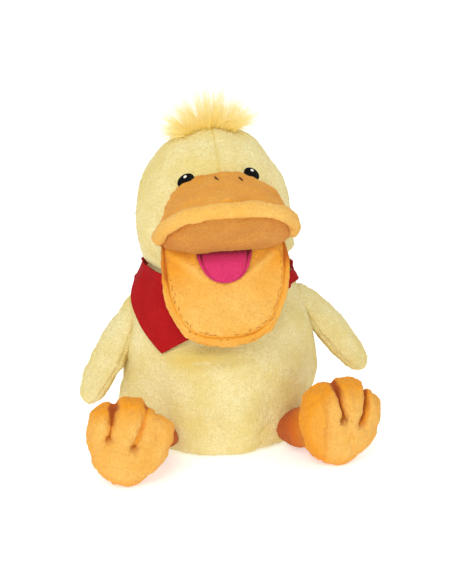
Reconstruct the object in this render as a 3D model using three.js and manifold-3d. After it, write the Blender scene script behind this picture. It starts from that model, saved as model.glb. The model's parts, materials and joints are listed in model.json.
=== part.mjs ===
// Sitting plush duck, a moving mouth hand puppet. Millimetres, +Z up, the duck faces -Y.
// The torso is a hollow sleeve open at the base. The neck is three nested spherical rings that share one
// pivot, so the head turns, tilts and nods over the open arm passage. The bill opens on a mouth hinge.
import * as THREE from "three";
import { mergeVertices } from "three/addons/utils/BufferGeometryUtils.js";
import Module from "manifold-3d";

const wasm = await Module();
wasm.setup();

// ---- Driving dimensions ----
const SKIN = 2.5; // plush cloth with its pile
const GAP = 0.4; // clear space between touching layers
const PADDING = 6; // soft layer between skin and hand lining
const LINING = 1.2;
const ROUND = 22; // facets round the torso and the head
const RECENTRE = [-6.3, 11.2, 0]; // brings the middle of the base outline to the origin

const TORSO_PROFILE = [
  [68, 0.4],
  [76.5, 4],
  [82, 13],
  [85.5, 30],
  [86.5, 52],
  [85.5, 78],
  [81.5, 103],
  [75, 126],
  [68, 142],
  [64, 151],
];
const TORSO_DEPTH = 0.82; // depth over width at the belly
const COLLAR_DEPTH = 0.95; // and at the collar
const HEM = { inner: 50, outer: 65, thickness: 3.5 };

const NECK_PIVOT = [-2, 0, 158];
const SLEEVE_TOP = 131; // the padding and the hand lining end under the neck rings
const NECK_RINGS = {
  neck_turn_ring: { inner: 51.5, outer: 54, low: -24, high: 7 },
  neck_tilt_ring: { inner: 48, outer: 50.5, low: -18, high: 10 },
  head_neck_ring: { inner: 44.5, outer: 47, low: -12, high: 12 },
};

const HEAD_PROFILE = [
  [57, 171],
  [61, 177],
  [64, 191],
  [64.5, 208],
  [62, 228],
  [55, 247],
  [43.5, 262.5],
  [28.5, 274],
  [14, 279],
  [0, 280],
];
const HEAD_DEPTH = 0.947;
const HEAD_CAVITY = [
  [44, 172],
  [44, 200],
  [40, 222],
  [28, 238],
  [0, 243],
];
const HEAD_CLEARANCE = 55; // the head's layers stay outside this ball round the neck pivot
const HEAD_YAW = THREE.MathUtils.degToRad(-4.5);
const HEAD_ROLL = THREE.MathUtils.degToRad(-2);

const MOUTH_HINGE = [-2, -60, 189];
const UPPER_BILL = {
  middle: -0.5,
  back: -51,
  front: -117,
  halfWidth: 57,
  slope: 0.62,
  z: 190,
  crown: 51,
  palate: 7.5,
};
const LIP_RADIUS = 5.5;
const FINGER_POCKET = { low: [-27, -86, 216], high: [23, -46, 232], cloth: 1 };
const FINGER_SPACE = { low: [-34, -80, 166], high: [30, -20, 236] }; // from the neck to both pockets
const LOWER_BILL = { halfWidth: 54, length: 84, inner: 7, outerBack: 14, outerTip: 8, droop: 64.5 };
const THUMB_POCKET = { low: [-14, -28, -8.8], high: [14, -6, 0.2], cloth: 1 };
const TONGUE = { halfWidth: 23, back: -6, tip: -35, thickness: 2 };
const BOARD = 1.6; // stiff sheet inside each half of the bill
const UPPER_BOARD = 0.6; // its height over the middle of the upper bill
const LOWER_BOARD = 0.8; // and over the middle of the lower bill
const BILL_LIFT = 3; // degrees that the upper bill can lift from rest

const WING = { length: 102, halfWidth: 20, halfThickness: 10.5, clear: 2 };
const WING_FLAP = [-2, 12, 28, 44, 60]; // degrees that a wing can lift, in steps
const WINGS = {
  left: { side: 1, root: [77.5, 4, 121], splay: 42, face: 36 },
  right: { side: -1, root: [-77, 4, 120], splay: 24, face: 8 },
};
const FOOT = { halfWidth: 36.5, halfHeight: 39, halfThickness: 13, toeDip: 0.16, toeAngle: 21 };
const LEG = { radius: 15, reach: 50, clear: 1.5, footClear: 4 };
const LEG_SWING = [-30, -20, -10, 0, 8, 15]; // degrees that a leg can swing, in steps
const LIMBS = {
  left: { hip: [50, -53, 20], ankle: [80, -78, 27], foot: [87, -94, 39], yaw: 6, lean: -6 },
  right: { hip: [-56, -52, 20], ankle: [-84, -86, 27], foot: [-93, -103, 39], yaw: -10, lean: -6 },
};
const EYE = { halfWidth: 6.4, halfHeight: 7.8, bulge: 3, spread: 27.4, z: 245 };
const NOSTRIL = { spread: 10, y: -60, halfLength: 3.6, halfWidth: 1.3 };
const CREST = { centre: [-4, -6], base: 279.5, top: 316, halfWidth: 25, halfDepth: 12, patch: 3 };

const BANDANA = { cloth: 2, lift: 0.6, bandLow: 141, azimuth: -132, spread: 43, pointZ: 99 };
const TAIL = { root: [0, 66, 40], length: 40, halfWidth: 24, halfThickness: 11, rise: 34 };
const FAR = 400; // reach of a cutting block, well past the duck

// ---- Colours, one plush, felt or thread for each kind of part ----
const PLUSH_YELLOW = { color: 0xf4e39b, roughness: 0.95, metalness: 0 };
const PLUSH_ORANGE = { color: 0xefa841, roughness: 0.95, metalness: 0 };
const PLUSH_LIP = { color: 0xf7c56c, roughness: 0.95, metalness: 0 };
const PALATE_CLOTH = { color: 0xde9a41, roughness: 0.95, metalness: 0 };
const TONGUE_FELT = { color: 0xe1417e, roughness: 0.9, metalness: 0 };
const BANDANA_FELT = { color: 0xb92123, roughness: 0.9, metalness: 0 };
const CREST_PILE = { color: 0xf2cc5e, roughness: 1, metalness: 0 };
const THREAD_BLACK = { color: 0x0b0a09, roughness: 0.35, metalness: 0 };
const THREAD_BROWN = { color: 0x8a5a22, roughness: 0.6, metalness: 0 };
const FIBREFILL = { color: 0xf3f1ea, roughness: 1, metalness: 0 };
const LINING_CLOTH = { color: 0xe9d98c, roughness: 0.9, metalness: 0 };
const STIFF_BOARD = { color: 0xb9a98a, roughness: 0.8, metalness: 0 };

// ---- Solids ----
function solidOf(geometry) {
  const bare = geometry.clone();
  bare.deleteAttribute("normal");
  bare.deleteAttribute("uv");
  const merged = mergeVertices(bare, 1e-3);
  const index = Array.from(merged.index.array);
  const triVerts = [];
  for (let i = 0; i < index.length; i += 3) {
    const [a, b, c] = index.slice(i, i + 3);
    if (a !== b && b !== c && a !== c) triVerts.push(a, b, c);
  }
  const vertProperties = Float32Array.from(merged.attributes.position.array);
  const build = (verts) =>
    new wasm.Manifold(
      new wasm.Mesh({ numProp: 3, vertProperties, triVerts: Uint32Array.from(verts) }),
    );
  const made = build(triVerts);
  return made.volume() < 0 ? build(triVerts.reverse()) : made;
}

function geometryOf(solid) {
  const mesh = solid.getMesh();
  const position = new Float32Array(mesh.numVert * 3);
  for (let i = 0; i < mesh.numVert; i++) {
    position.set(mesh.vertProperties.subarray(i * mesh.numProp, i * mesh.numProp + 3), i * 3);
  }
  return new THREE.BufferGeometry()
    .setAttribute("position", new THREE.BufferAttribute(position, 3))
    .setIndex(new THREE.BufferAttribute(Uint32Array.from(mesh.triVerts), 1));
}

// The same solid with every point moved by place(x, y, z).
function reshape(solid, place) {
  const geometry = geometryOf(solid);
  const position = geometry.attributes.position;
  for (let i = 0; i < position.count; i++) {
    position.setXYZ(i, ...place(position.getX(i), position.getY(i), position.getZ(i)));
  }
  return solidOf(geometry);
}

// The biggest body of a cut solid, without the slivers that the cut leaves.
function largest(solid) {
  return solid.decompose().reduce((a, b) => (a.volume() > b.volume() ? a : b));
}

// The space that a neighbour sweeps when a solid on a joint turns past it by each of some angles, in degrees.
function sweptSpace(neighbour, pivot, axis, angles) {
  return angles
    .map((degrees) => {
      const turn = new THREE.Matrix4()
        .makeTranslation(...pivot)
        .multiply(
          new THREE.Matrix4().makeRotationAxis(
            new THREE.Vector3(...axis),
            THREE.MathUtils.degToRad(-degrees),
          ),
        )
        .multiply(new THREE.Matrix4().makeTranslation(...pivot.map((value) => -value)));
      return transformed(neighbour, turn);
    })
    .reduce((all, one) => all.add(one));
}

const transformed = (solid, matrix) =>
  reshape(solid, (x, y, z) => new THREE.Vector3(x, y, z).applyMatrix4(matrix).toArray());

function block(low, high) {
  const size = high.map((value, axis) => value - low[axis]);
  const middle = high.map((value, axis) => (value + low[axis]) / 2);
  return solidOf(new THREE.BoxGeometry(...size).translate(...middle));
}

// An upright sector of the space round the Z axis, between two angles in degrees.
function sector(from, to) {
  const reach = 200;
  const shape = new THREE.Shape([new THREE.Vector2(0, 0)]);
  const steps = 6;
  for (let i = 0; i <= steps; i++) {
    const angle = THREE.MathUtils.degToRad(from + ((to - from) * i) / steps);
    shape.lineTo(reach * Math.cos(angle), reach * Math.sin(angle));
  }
  return solidOf(
    new THREE.ExtrudeGeometry(shape, { depth: 400, bevelEnabled: false }).translate(0, 0, -50),
  );
}

// ---- Turned forms ----
function smoothProfile(knots, steps) {
  return new THREE.SplineCurve(knots.map(([r, z]) => new THREE.Vector2(r, z)))
    .getPoints(steps)
    .map((point) => new THREE.Vector2(Math.max(point.x, 0), point.y));
}

// A profile moved inward, square to itself, by a distance.
function insetProfile(points, distance) {
  return points.map((point, i) => {
    const ahead = points[Math.min(i + 1, points.length - 1)];
    const behind = points[Math.max(i - 1, 0)];
    const along = ahead.clone().sub(behind).normalize();
    const moved = new THREE.Vector2(point.x - along.y * distance, point.y + along.x * distance);
    return point.x === 0 ? new THREE.Vector2(0, point.y - distance) : moved;
  });
}

function turned(loop, segments = ROUND) {
  return solidOf(new THREE.LatheGeometry(loop, segments).rotateX(Math.PI / 2));
}

// The layer of a turned form that lies between two depths under its surface.
function layer(points, from, to) {
  const outside = insetProfile(points, from);
  const inside = insetProfile(points, to).reverse();
  const loop = [...outside, ...inside];
  loop.push(outside[0].clone());
  return turned(loop);
}

const torsoPoints = smoothProfile(TORSO_PROFILE, 8);
const sleevePoints = smoothProfile(TORSO_PROFILE, 8).filter((point) => point.y < SLEEVE_TOP);
const headPoints = smoothProfile(HEAD_PROFILE, 8);

function torsoDepth(z) {
  const rise = THREE.MathUtils.smoothstep(z, 95, 150);
  return THREE.MathUtils.lerp(TORSO_DEPTH, COLLAR_DEPTH, rise);
}

const flattenTorso = (solid) => reshape(solid, (x, y, z) => [x, y * torsoDepth(z), z]);
const flattenHead = (solid) =>
  reshape(solid, (x, y, z) => [x + NECK_PIVOT[0], y * HEAD_DEPTH, z]);

const torsoLayer = (from, to) => flattenTorso(layer(torsoPoints, from, to));
const headLayer = (from, to) => flattenHead(layer(headPoints, from, to));

// The whole torso as one lump, a little bigger all round, to cut clear space from its neighbours.
function torsoEnvelope(margin) {
  const points = insetProfile(torsoPoints, -margin);
  const top = new THREE.Vector2(0, points.at(-1).y);
  const base = new THREE.Vector2(0, points[0].y);
  return flattenTorso(turned([base, ...points, top]));
}

function sphereZone({ inner, outer, low, high }) {
  const arc = (radius, from, to) => {
    const steps = 3;
    return Array.from({ length: steps + 1 }, (_, i) => {
      const z = from + ((to - from) * i) / steps;
      return new THREE.Vector2(Math.sqrt(radius * radius - z * z), NECK_PIVOT[2] + z);
    });
  };
  const loop = [...arc(outer, low, high), ...arc(inner, high, low)];
  loop.push(loop[0].clone());
  return reshape(turned(loop), (x, y, z) => [x + NECK_PIVOT[0], y + NECK_PIVOT[1], z]);
}

// ---- Pillow forms ----
// A closed lofted form with its two poles on Y: place(side, height, along) puts each point, where side and
// height go round the section and along runs from -1 at the back pole to 1 at the front pole.
function loft(around, rows, place) {
  const sphere = solidOf(new THREE.SphereGeometry(1, around, rows));
  return reshape(sphere, (x, y, z) => {
    const reach = Math.hypot(x, z);
    const side = reach < 1e-4 ? 0 : x / reach;
    const height = reach < 1e-4 ? 0 : z / reach;
    return place(side, height, THREE.MathUtils.clamp(y, -1, 1));
  });
}

const roundedTo = (along, power) => Math.max(0, 1 - Math.abs(along) ** power) ** (1 / power);

// Two cloth halves and a filling, cut from one form that pad(inset) gives at any depth under its surface.
function sewnPad(pad, halfSpace) {
  const cloth = pad(0).subtract(pad(SKIN));
  return {
    upper: largest(cloth.intersect(halfSpace(1))),
    lower: largest(cloth.intersect(halfSpace(-1))),
    filling: pad(SKIN + GAP + 0.2),
  };
}

// The space on one side of the seam plane through the middle of a pad, square to an axis (0, 1 or 2).
const sideOf = (axis) => (direction) => {
  const low = [-FAR, -FAR, -FAR];
  const high = [FAR, FAR, FAR];
  if (direction > 0) low[axis] = GAP / 2;
  else high[axis] = -GAP / 2;
  return block(low, high);
};

// ---- Scene graph ----
// A group that turns about a pivot. Its meshes keep the coordinates of the whole design.
function jointGroup(name, pivot, parent) {
  const group = new THREE.Group();
  group.name = name;
  const parentPivot = parent.userData.pivot;
  group.userData.pivot = pivot;
  group.position.set(...pivot.map((value, axis) => value - parentPivot[axis]));
  parent.add(group);
  return group;
}

function addPart(group, name, solid, material) {
  const mesh = new THREE.Mesh(geometryOf(solid), new THREE.MeshStandardMaterial(material));
  mesh.name = name;
  mesh.position.set(...group.userData.pivot.map((value) => -value));
  group.add(mesh);
  return mesh;
}

const duck = new THREE.Group();
duck.userData.pivot = [0, 0, 0];
duck.position.set(...RECENTRE);

// ---- Torso ----
const PANELS = {
  torso_front_panel: [-132, -48],
  torso_left_panel: [-48, 48],
  torso_back_panel: [48, 132],
  torso_right_panel: [132, 228],
};
const SEAM_ANGLE = 0.15; // half of the gap at a seam, in degrees

function addTorso() {
  const cloth = torsoLayer(0, SKIN);
  for (const [name, [from, to]] of Object.entries(PANELS)) {
    const panel = cloth.intersect(sector(from + SEAM_ANGLE, to - SEAM_ANGLE));
    addPart(duck, name, largest(panel), PLUSH_YELLOW);
  }
  const paddingStart = SKIN + 2 * GAP;
  const paddingEnd = paddingStart + PADDING;
  const padding = flattenTorso(layer(sleevePoints.slice(1), paddingStart, paddingEnd));
  const front = padding.intersect(sector(-180 + SEAM_ANGLE, -SEAM_ANGLE));
  const back = padding.intersect(sector(SEAM_ANGLE, 180 - SEAM_ANGLE));
  addPart(duck, "torso_front_padding", largest(front), FIBREFILL);
  addPart(duck, "torso_back_padding", largest(back), FIBREFILL);
  const liningStart = paddingEnd + GAP;
  const lining = flattenTorso(layer(sleevePoints.slice(1), liningStart, liningStart + LINING));
  addPart(duck, "hand_sleeve_lining", lining, LINING_CLOTH);
  const { inner, outer, thickness } = HEM;
  const hemLoop = [
    [inner, 0],
    [outer, 0],
    [outer, thickness],
    [inner, thickness],
    [inner, 0],
  ].map(([r, z]) => new THREE.Vector2(r, z));
  addPart(duck, "hand_opening_hem", flattenTorso(turned(hemLoop)), PLUSH_YELLOW);
}

// ---- Tail ----
function addTail() {
  const pad = (inset) =>
    loft(12, 6, (side, height, along) => {
      const taper = roundedTo(along, 2.2) * (1 - 0.3 * along);
      return [
        side * taper * (TAIL.halfWidth - inset),
        along * (TAIL.length / 2 - inset) + TAIL.length / 2,
        height * taper * (TAIL.halfThickness - inset),
      ];
    });
  const place = new THREE.Matrix4()
    .makeTranslation(...TAIL.root)
    .multiply(new THREE.Matrix4().makeRotationX(THREE.MathUtils.degToRad(TAIL.rise)));
  const outside = torsoEnvelope(GAP);
  const { upper, lower, filling } = sewnPad(pad, sideOf(2));
  const fit = (solid) => largest(transformed(solid, place).subtract(outside));
  addPart(duck, "tail_top_panel", fit(upper), PLUSH_YELLOW);
  addPart(duck, "tail_bottom_panel", fit(lower), PLUSH_YELLOW);
  addPart(duck, "tail_filling", fit(filling), FIBREFILL);
}

// ---- Bandana ----
// A triangle that hangs on the torso, seen from outside at the bandana's azimuth.
function bandanaOutline() {
  const { bandLow, spread, pointZ } = BANDANA;
  const shape = new THREE.Shape([
    new THREE.Vector2(-spread, bandLow + 6),
    new THREE.Vector2(-spread * 0.9, bandLow - 6),
    new THREE.Vector2(4, pointZ),
    new THREE.Vector2(spread * 0.85, bandLow - 14),
    new THREE.Vector2(spread, bandLow + 6),
  ]);
  const prism = new THREE.ExtrudeGeometry(shape, { depth: 120, bevelEnabled: false });
  prism.rotateX(Math.PI / 2);
  return solidOf(prism.rotateZ(THREE.MathUtils.degToRad(BANDANA.azimuth + 90)));
}

function addBandana() {
  const { cloth, lift, bandLow } = BANDANA;
  const sheet = flattenTorso(layer(torsoPoints, -lift - cloth, -lift));
  const band = block([-99, -99, bandLow], [99, 99, 200]);
  const bandana = sheet.intersect(band.add(bandanaOutline()));
  addPart(duck, "bandana", largest(bandana), BANDANA_FELT);
  const outside = torsoEnvelope(lift + cloth + GAP);
  const knotForm = (centre, radii) =>
    largest(
      loft(10, 6, (side, height, along) => {
        const taper = roundedTo(along, 2);
        return [
          centre[0] + side * taper * radii[0],
          centre[1] + along * radii[1],
          centre[2] + height * taper * radii[2],
        ];
      }).subtract(outside),
    );
  addPart(duck, "bandana_knot", knotForm([66, -26, 149], [8, 9, 7]), BANDANA_FELT);
  addPart(duck, "bandana_tie_end", knotForm([72, -28, 133], [6, 7, 8.6]), BANDANA_FELT);
}

// ---- Neck and head groups ----
const neck = jointGroup("neck", NECK_PIVOT, duck);
const neckTilt = jointGroup("neck_tilt", NECK_PIVOT, neck);
const head = jointGroup("head", NECK_PIVOT, neckTilt);
head.rotation.set(0, HEAD_ROLL, HEAD_YAW, "ZYX");
const upperBill = jointGroup("upper_bill", MOUTH_HINGE, head);
const lowerBill = jointGroup("lower_bill", MOUTH_HINGE, head);

function addNeck() {
  const groups = { neck_turn_ring: neck, neck_tilt_ring: neckTilt, head_neck_ring: head };
  for (const [name, zone] of Object.entries(NECK_RINGS)) {
    addPart(groups[name], name, sphereZone(zone), PLUSH_YELLOW);
  }
}

// ---- Upper bill ----
const billZ = (y) => UPPER_BILL.z + (UPPER_BILL.back - y) * UPPER_BILL.slope;

// The upper bill at a depth under its surface: a domed top over a puffed palate.
function upperBillForm(inset) {
  const { back, front, halfWidth, crown, palate } = UPPER_BILL;
  const start = back - inset;
  const tip = front + inset;
  return loft(20, 10, (side, height, along) => {
    const y = THREE.MathUtils.lerp(start, tip, (along + 1) / 2);
    const u = (start - y) / (start - tip);
    const width = (halfWidth - inset) * roundedTo(u, 2.6);
    const top = Math.min(crown * (1 - u) + 8, 60 * roundedTo(u, 2.6) + 0.5) - inset;
    const puff = (palate - inset) * Math.sin(Math.PI * u) + 0.5;
    const rise = height > 0 ? Math.max(top, 0.3) : Math.max(puff, 0.3);
    return [UPPER_BILL.middle + side * width, y, billZ(y) + rise * height];
  });
}

// The rolled edge that runs from one corner of the mouth round the front to the other.
function lipRoll(radius) {
  const { back, front, halfWidth } = UPPER_BILL;
  const points = [];
  for (let degrees = 4; degrees <= 176; degrees += 21.5) {
    const angle = THREE.MathUtils.degToRad(degrees);
    const side = Math.cos(angle);
    const u = Math.sin(angle);
    const x = UPPER_BILL.middle + Math.sign(side) * Math.abs(side) ** 0.8 * halfWidth;
    const y = back + u ** 0.8 * (front - back);
    points.push(new THREE.Vector3(x, y, billZ(y) + 3));
  }
  const section = new THREE.Shape().absarc(0, 0, radius, 0, 2 * Math.PI);
  const extrudePath = new THREE.CatmullRomCurve3(points);
  return solidOf(new THREE.ExtrudeGeometry(section, { steps: 18, curveSegments: 4, extrudePath }));
}

// A flat sheet set on the slope of the palate.
function onPalateSlope(low, high) {
  const flat = block([low[0], low[1], 0], [high[0], high[1], 1]);
  return reshape(flat, (x, y, z) => [
    x + UPPER_BILL.middle,
    y,
    billZ(y) + THREE.MathUtils.lerp(low[2], high[2], z),
  ]);
}

function pocketLining({ low, high, cloth }) {
  const outer = block(low, high);
  const inner = block(
    [low[0] + cloth, low[1] + cloth, low[2] + cloth],
    [high[0] - cloth, high[1] + 1, high[2] - cloth],
  );
  return outer.subtract(inner);
}

function grownBlock({ low, high }, margin) {
  return block(
    low.map((value) => value - margin),
    [high[0] + margin, high[1] + 40, high[2] + margin],
  );
}

function addUpperBill() {
  const cloth = upperBillForm(0).subtract(upperBillForm(SKIN));
  const lipSpace = lipRoll(LIP_RADIUS + GAP);
  const reach = UPPER_BILL.halfWidth + 20;
  const below = onPalateSlope([-reach, -140, -60], [reach, -30, -GAP / 2]);
  const above = onPalateSlope([-reach, -140, GAP / 2], [reach, -30, 90]);
  const openBack = block([-46, UPPER_BILL.back - SKIN - 2, 202], [42, -30, 238]);
  const top = largest(cloth.intersect(above).subtract(lipSpace).subtract(openBack));
  const palate = largest(cloth.intersect(below).subtract(lipSpace));
  const boardLow = UPPER_BOARD - GAP;
  const boardHigh = UPPER_BOARD + BOARD + GAP;
  const boardSpace = onPalateSlope([-reach, -140, boardLow], [reach, -30, boardHigh]);
  const core = upperBillForm(SKIN + 2 * GAP).subtract(lipSpace).subtract(boardSpace);
  const filling = core.intersect(above).subtract(grownBlock(FINGER_POCKET, GAP));
  addPart(upperBill, "upper_bill_top_panel", top, PLUSH_ORANGE);
  addPart(upperBill, "upper_bill_lip", lipRoll(LIP_RADIUS), PLUSH_LIP);
  addPart(upperBill, "upper_palate_panel", palate, PALATE_CLOTH);
  addPart(upperBill, "upper_bill_filling", largest(filling), FIBREFILL);
  addPart(upperBill, "upper_palate_filling", largest(core.intersect(below)), FIBREFILL);
  const boardSlab = onPalateSlope(
    [-44, -102, UPPER_BOARD],
    [44, UPPER_BILL.back - SKIN - 3, UPPER_BOARD + BOARD],
  );
  const board = boardSlab.intersect(upperBillForm(SKIN + 2 * GAP)).subtract(lipSpace);
  addPart(upperBill, "upper_mouth_board", board, STIFF_BOARD);
  addPart(upperBill, "finger_pocket", pocketLining(FINGER_POCKET), LINING_CLOTH);
  const outside = upperBillForm(-GAP);
  for (const [name, side] of Object.entries({ left: 1, right: -1 })) {
    const x = UPPER_BILL.middle + side * NOSTRIL.spread;
    const along = (UPPER_BILL.back - NOSTRIL.y) / (UPPER_BILL.back - UPPER_BILL.front);
    const z = billZ(NOSTRIL.y) + UPPER_BILL.crown * (1 - along) + 7;
    const stitch = loft(6, 4, (across, height, lengthwise) => {
      const taper = roundedTo(lengthwise, 2);
      return [
        x + across * taper * NOSTRIL.halfWidth + side * lengthwise * NOSTRIL.halfLength * 0.5,
        NOSTRIL.y + lengthwise * NOSTRIL.halfLength,
        z + height * taper * 2.6,
      ];
    });
    addPart(upperBill, "nostril_stitch_" + name, largest(stitch.subtract(outside)), THREAD_BROWN);
  }
}

// ---- Lower bill ----
// The lower bill is shaped shut, flat and pointing forward from the hinge, and then swung open.
const lowerBillPlace = new THREE.Matrix4()
  .makeTranslation(...MOUTH_HINGE)
  .multiply(new THREE.Matrix4().makeRotationX(THREE.MathUtils.degToRad(LOWER_BILL.droop)));

function lowerBillForm(inset) {
  const { halfWidth, length, inner, outerBack, outerTip } = LOWER_BILL;
  const start = -5 - inset;
  const tip = -length + inset;
  return loft(20, 10, (side, height, along) => {
    const y = THREE.MathUtils.lerp(start, tip, (along + 1) / 2);
    const u = (start - y) / (start - tip);
    const edge = roundedTo(u, 2.6);
    const outer = THREE.MathUtils.lerp(outerBack, outerTip, u);
    const rise = height > 0 ? inner - inset : (outer - inset) * Math.min(1, edge * 1.3);
    return [side * (halfWidth - inset) * edge, y, height * Math.max(rise, 0.3)];
  });
}

function addLowerBill() {
  const { upper, lower } = sewnPad(lowerBillForm, sideOf(2));
  const boardSpace = block([-FAR, -FAR, LOWER_BOARD - GAP], [FAR, FAR, FAR]);
  const openBack = block([-20, -5 - SKIN - 1, -10.5], [20, 20, 1]);
  const core = lowerBillForm(SKIN + 2 * GAP).subtract(boardSpace);
  const pocketSpace = grownBlock(THUMB_POCKET, GAP);
  const filling = core.subtract(pocketSpace);
  const boardSlab = block([-44, -74, LOWER_BOARD], [44, -10, LOWER_BOARD + BOARD]);
  const board = boardSlab.intersect(lowerBillForm(SKIN + 2 * GAP));
  const tongue = loft(14, 8, (side, height, along) => {
    const ahead = (along + 1) / 2;
    return [
      side * TONGUE.halfWidth * roundedTo(ahead, 2.2) * Math.min(1, ahead * 8),
      THREE.MathUtils.lerp(TONGUE.back, TONGUE.tip, ahead),
      LOWER_BILL.inner + GAP + (TONGUE.thickness / 2) * (1 + height * roundedTo(along, 4)),
    ];
  });
  const pieces = {
    lower_bill_inner_panel: [upper, PLUSH_LIP],
    lower_bill_outer_panel: [largest(lower.subtract(pocketSpace).subtract(openBack)), PLUSH_ORANGE],
    lower_bill_filling: [largest(filling), FIBREFILL],
    lower_mouth_board: [board, STIFF_BOARD],
    thumb_pocket: [pocketLining(THUMB_POCKET), LINING_CLOTH],
    tongue: [tongue, TONGUE_FELT],
  };
  for (const [name, [solid, material]] of Object.entries(pieces)) {
    addPart(lowerBill, name, transformed(solid, lowerBillPlace), material);
  }
}

// ---- Head ----
function turnedAboutHinge(solid, degrees) {
  const turn = new THREE.Matrix4()
    .makeTranslation(...MOUTH_HINGE)
    .multiply(new THREE.Matrix4().makeRotationX(THREE.MathUtils.degToRad(degrees)))
    .multiply(new THREE.Matrix4().makeTranslation(...MOUTH_HINGE.map((value) => -value)));
  return transformed(solid, turn);
}

// The ball that the neck rings turn in.
function neckBall() {
  return solidOf(new THREE.SphereGeometry(HEAD_CLEARANCE, ROUND, 14).translate(...NECK_PIVOT));
}

// Clear space in the head for the neck rings, for the bill's own travel and for the fingers.
function billSpace() {
  const lowerRest = transformed(lowerBillForm(-2), lowerBillPlace);
  const upperRest = upperBillForm(-2).add(lipRoll(LIP_RADIUS + 2));
  return upperRest
    .add(turnedAboutHinge(upperRest, -BILL_LIFT))
    .add(lowerRest)
    .add(turnedAboutHinge(lowerRest, BILL_LIFT + 1))
    .add(block(FINGER_SPACE.low, FINGER_SPACE.high))
    .add(neckBall());
}

function addHead() {
  const space = billSpace();
  const cloth = headLayer(0, SKIN).subtract(space);
  const gores = {
    head_left_panel: [-90, 50],
    head_back_panel: [50, 130],
    head_right_panel: [130, 270],
  };
  for (const [name, [from, to]] of Object.entries(gores)) {
    const wedge = sector(from + SEAM_ANGLE, to - SEAM_ANGLE).translate([NECK_PIVOT[0], 0, 0]);
    addPart(head, name, largest(cloth.intersect(wedge)), PLUSH_YELLOW);
  }
  const outside = insetProfile(headPoints, SKIN + GAP);
  const cavity = HEAD_CAVITY.map(([r, z]) => new THREE.Vector2(r, z)).reverse();
  const filling = flattenHead(turned([...outside, ...cavity, outside[0].clone()]));
  addPart(head, "head_filling", largest(filling.subtract(space)), FIBREFILL);
}

function headEnvelope(margin) {
  const points = insetProfile(headPoints, -margin);
  return flattenHead(turned([new THREE.Vector2(0, points[0].y), ...points]));
}

function headRadiusAt(z) {
  const above = headPoints.findIndex((point) => point.y > z);
  const [low, high] = [headPoints[above - 1], headPoints[above]];
  return THREE.MathUtils.mapLinear(z, low.y, high.y, low.x, high.x);
}

function addEyes() {
  const liftedBill = turnedAboutHinge(upperBillForm(-GAP), -BILL_LIFT);
  const outside = headEnvelope(GAP).add(liftedBill);
  for (const [name, side] of Object.entries({ left: 1, right: -1 })) {
    const radius = headRadiusAt(EYE.z);
    const y = -Math.sqrt(radius ** 2 - EYE.spread ** 2) * HEAD_DEPTH;
    const facing = new THREE.Matrix4().lookAt(
      new THREE.Vector3(side * EYE.spread, y, 26),
      new THREE.Vector3(),
      new THREE.Vector3(0, 0, 1),
    );
    const place = new THREE.Matrix4()
      .makeTranslation(NECK_PIVOT[0] + side * EYE.spread, y, EYE.z)
      .multiply(facing);
    const oval = loft(12, 6, (across, height, along) => {
      const taper = roundedTo(along, 2);
      return [
        across * taper * EYE.halfWidth,
        along * EYE.halfHeight,
        height * taper * EYE.bulge,
      ];
    });
    addPart(head, "eye_" + name, largest(transformed(oval, place).subtract(outside)), THREAD_BLACK);
  }
}

function addCrest() {
  const { centre, base, top, halfWidth, halfDepth, patch } = CREST;
  const outside = headEnvelope(GAP);
  const patchForm = loft(12, 6, (side, height, along) => [
    centre[0] + side * halfWidth * roundedTo(along, 2),
    centre[1] + along * halfDepth,
    base + height * patch * roundedTo(along, 2),
  ]);
  addPart(head, "crest_patch", largest(patchForm.subtract(outside)), PLUSH_YELLOW);
  const tuft = loft(12, 8, (side, height, along) => {
    const rise = (along + 1) / 2;
    const spread = roundedTo(along, 4) * (0.72 + 0.36 * rise);
    return [
      centre[0] + side * halfWidth * spread,
      centre[1] + height * halfDepth * spread,
      THREE.MathUtils.lerp(base + patch + GAP, top, rise),
    ];
  });
  addPart(head, "crest_tuft", tuft, CREST_PILE);
}

// ---- Wings ----
function wingForm(inset) {
  return loft(14, 8, (side, height, along) => {
    const rounded = roundedTo(along, 2.6);
    const taper = rounded * (0.86 + 0.2 * Math.sin((along + 0.6) * 1.6));
    return [
      side * taper * (WING.halfWidth - inset),
      along * (WING.length / 2 - inset) + WING.length / 2 - WING.halfThickness,
      height * taper * (WING.halfThickness - inset),
    ];
  });
}

function addWing(name, { side, root, splay, face }) {
  const down = new THREE.Vector3(
    side * Math.sin(THREE.MathUtils.degToRad(splay)),
    -0.04,
    -Math.cos(THREE.MathUtils.degToRad(splay)),
  ).normalize();
  const sideways = new THREE.Vector3(side * -down.z, 0, side * down.x).normalize();
  const turn = THREE.MathUtils.degToRad(face);
  const outward = sideways
    .multiplyScalar(Math.cos(turn))
    .add(new THREE.Vector3(0, -Math.sin(turn), 0))
    .projectOnPlane(down)
    .normalize();
  const across = new THREE.Vector3().crossVectors(down, outward);
  const place = new THREE.Matrix4()
    .makeTranslation(...root)
    .multiply(new THREE.Matrix4().makeBasis(across, down, outward));
  const group = jointGroup("wing_" + name, root, duck);
  const torso = sweptSpace(torsoEnvelope(WING.clear), root, [0, -side, 0], WING_FLAP);
  const { upper, lower, filling } = sewnPad(wingForm, sideOf(2));
  const pieces = {
    outer_panel: [upper, PLUSH_YELLOW],
    inner_panel: [lower, PLUSH_YELLOW],
    filling: [filling, FIBREFILL],
  };
  for (const [piece, [solid, material]] of Object.entries(pieces)) {
    const fitted = largest(transformed(solid, place).subtract(torso));
    addPart(group, "wing_" + name + "_" + piece, fitted, material);
  }
}

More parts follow.
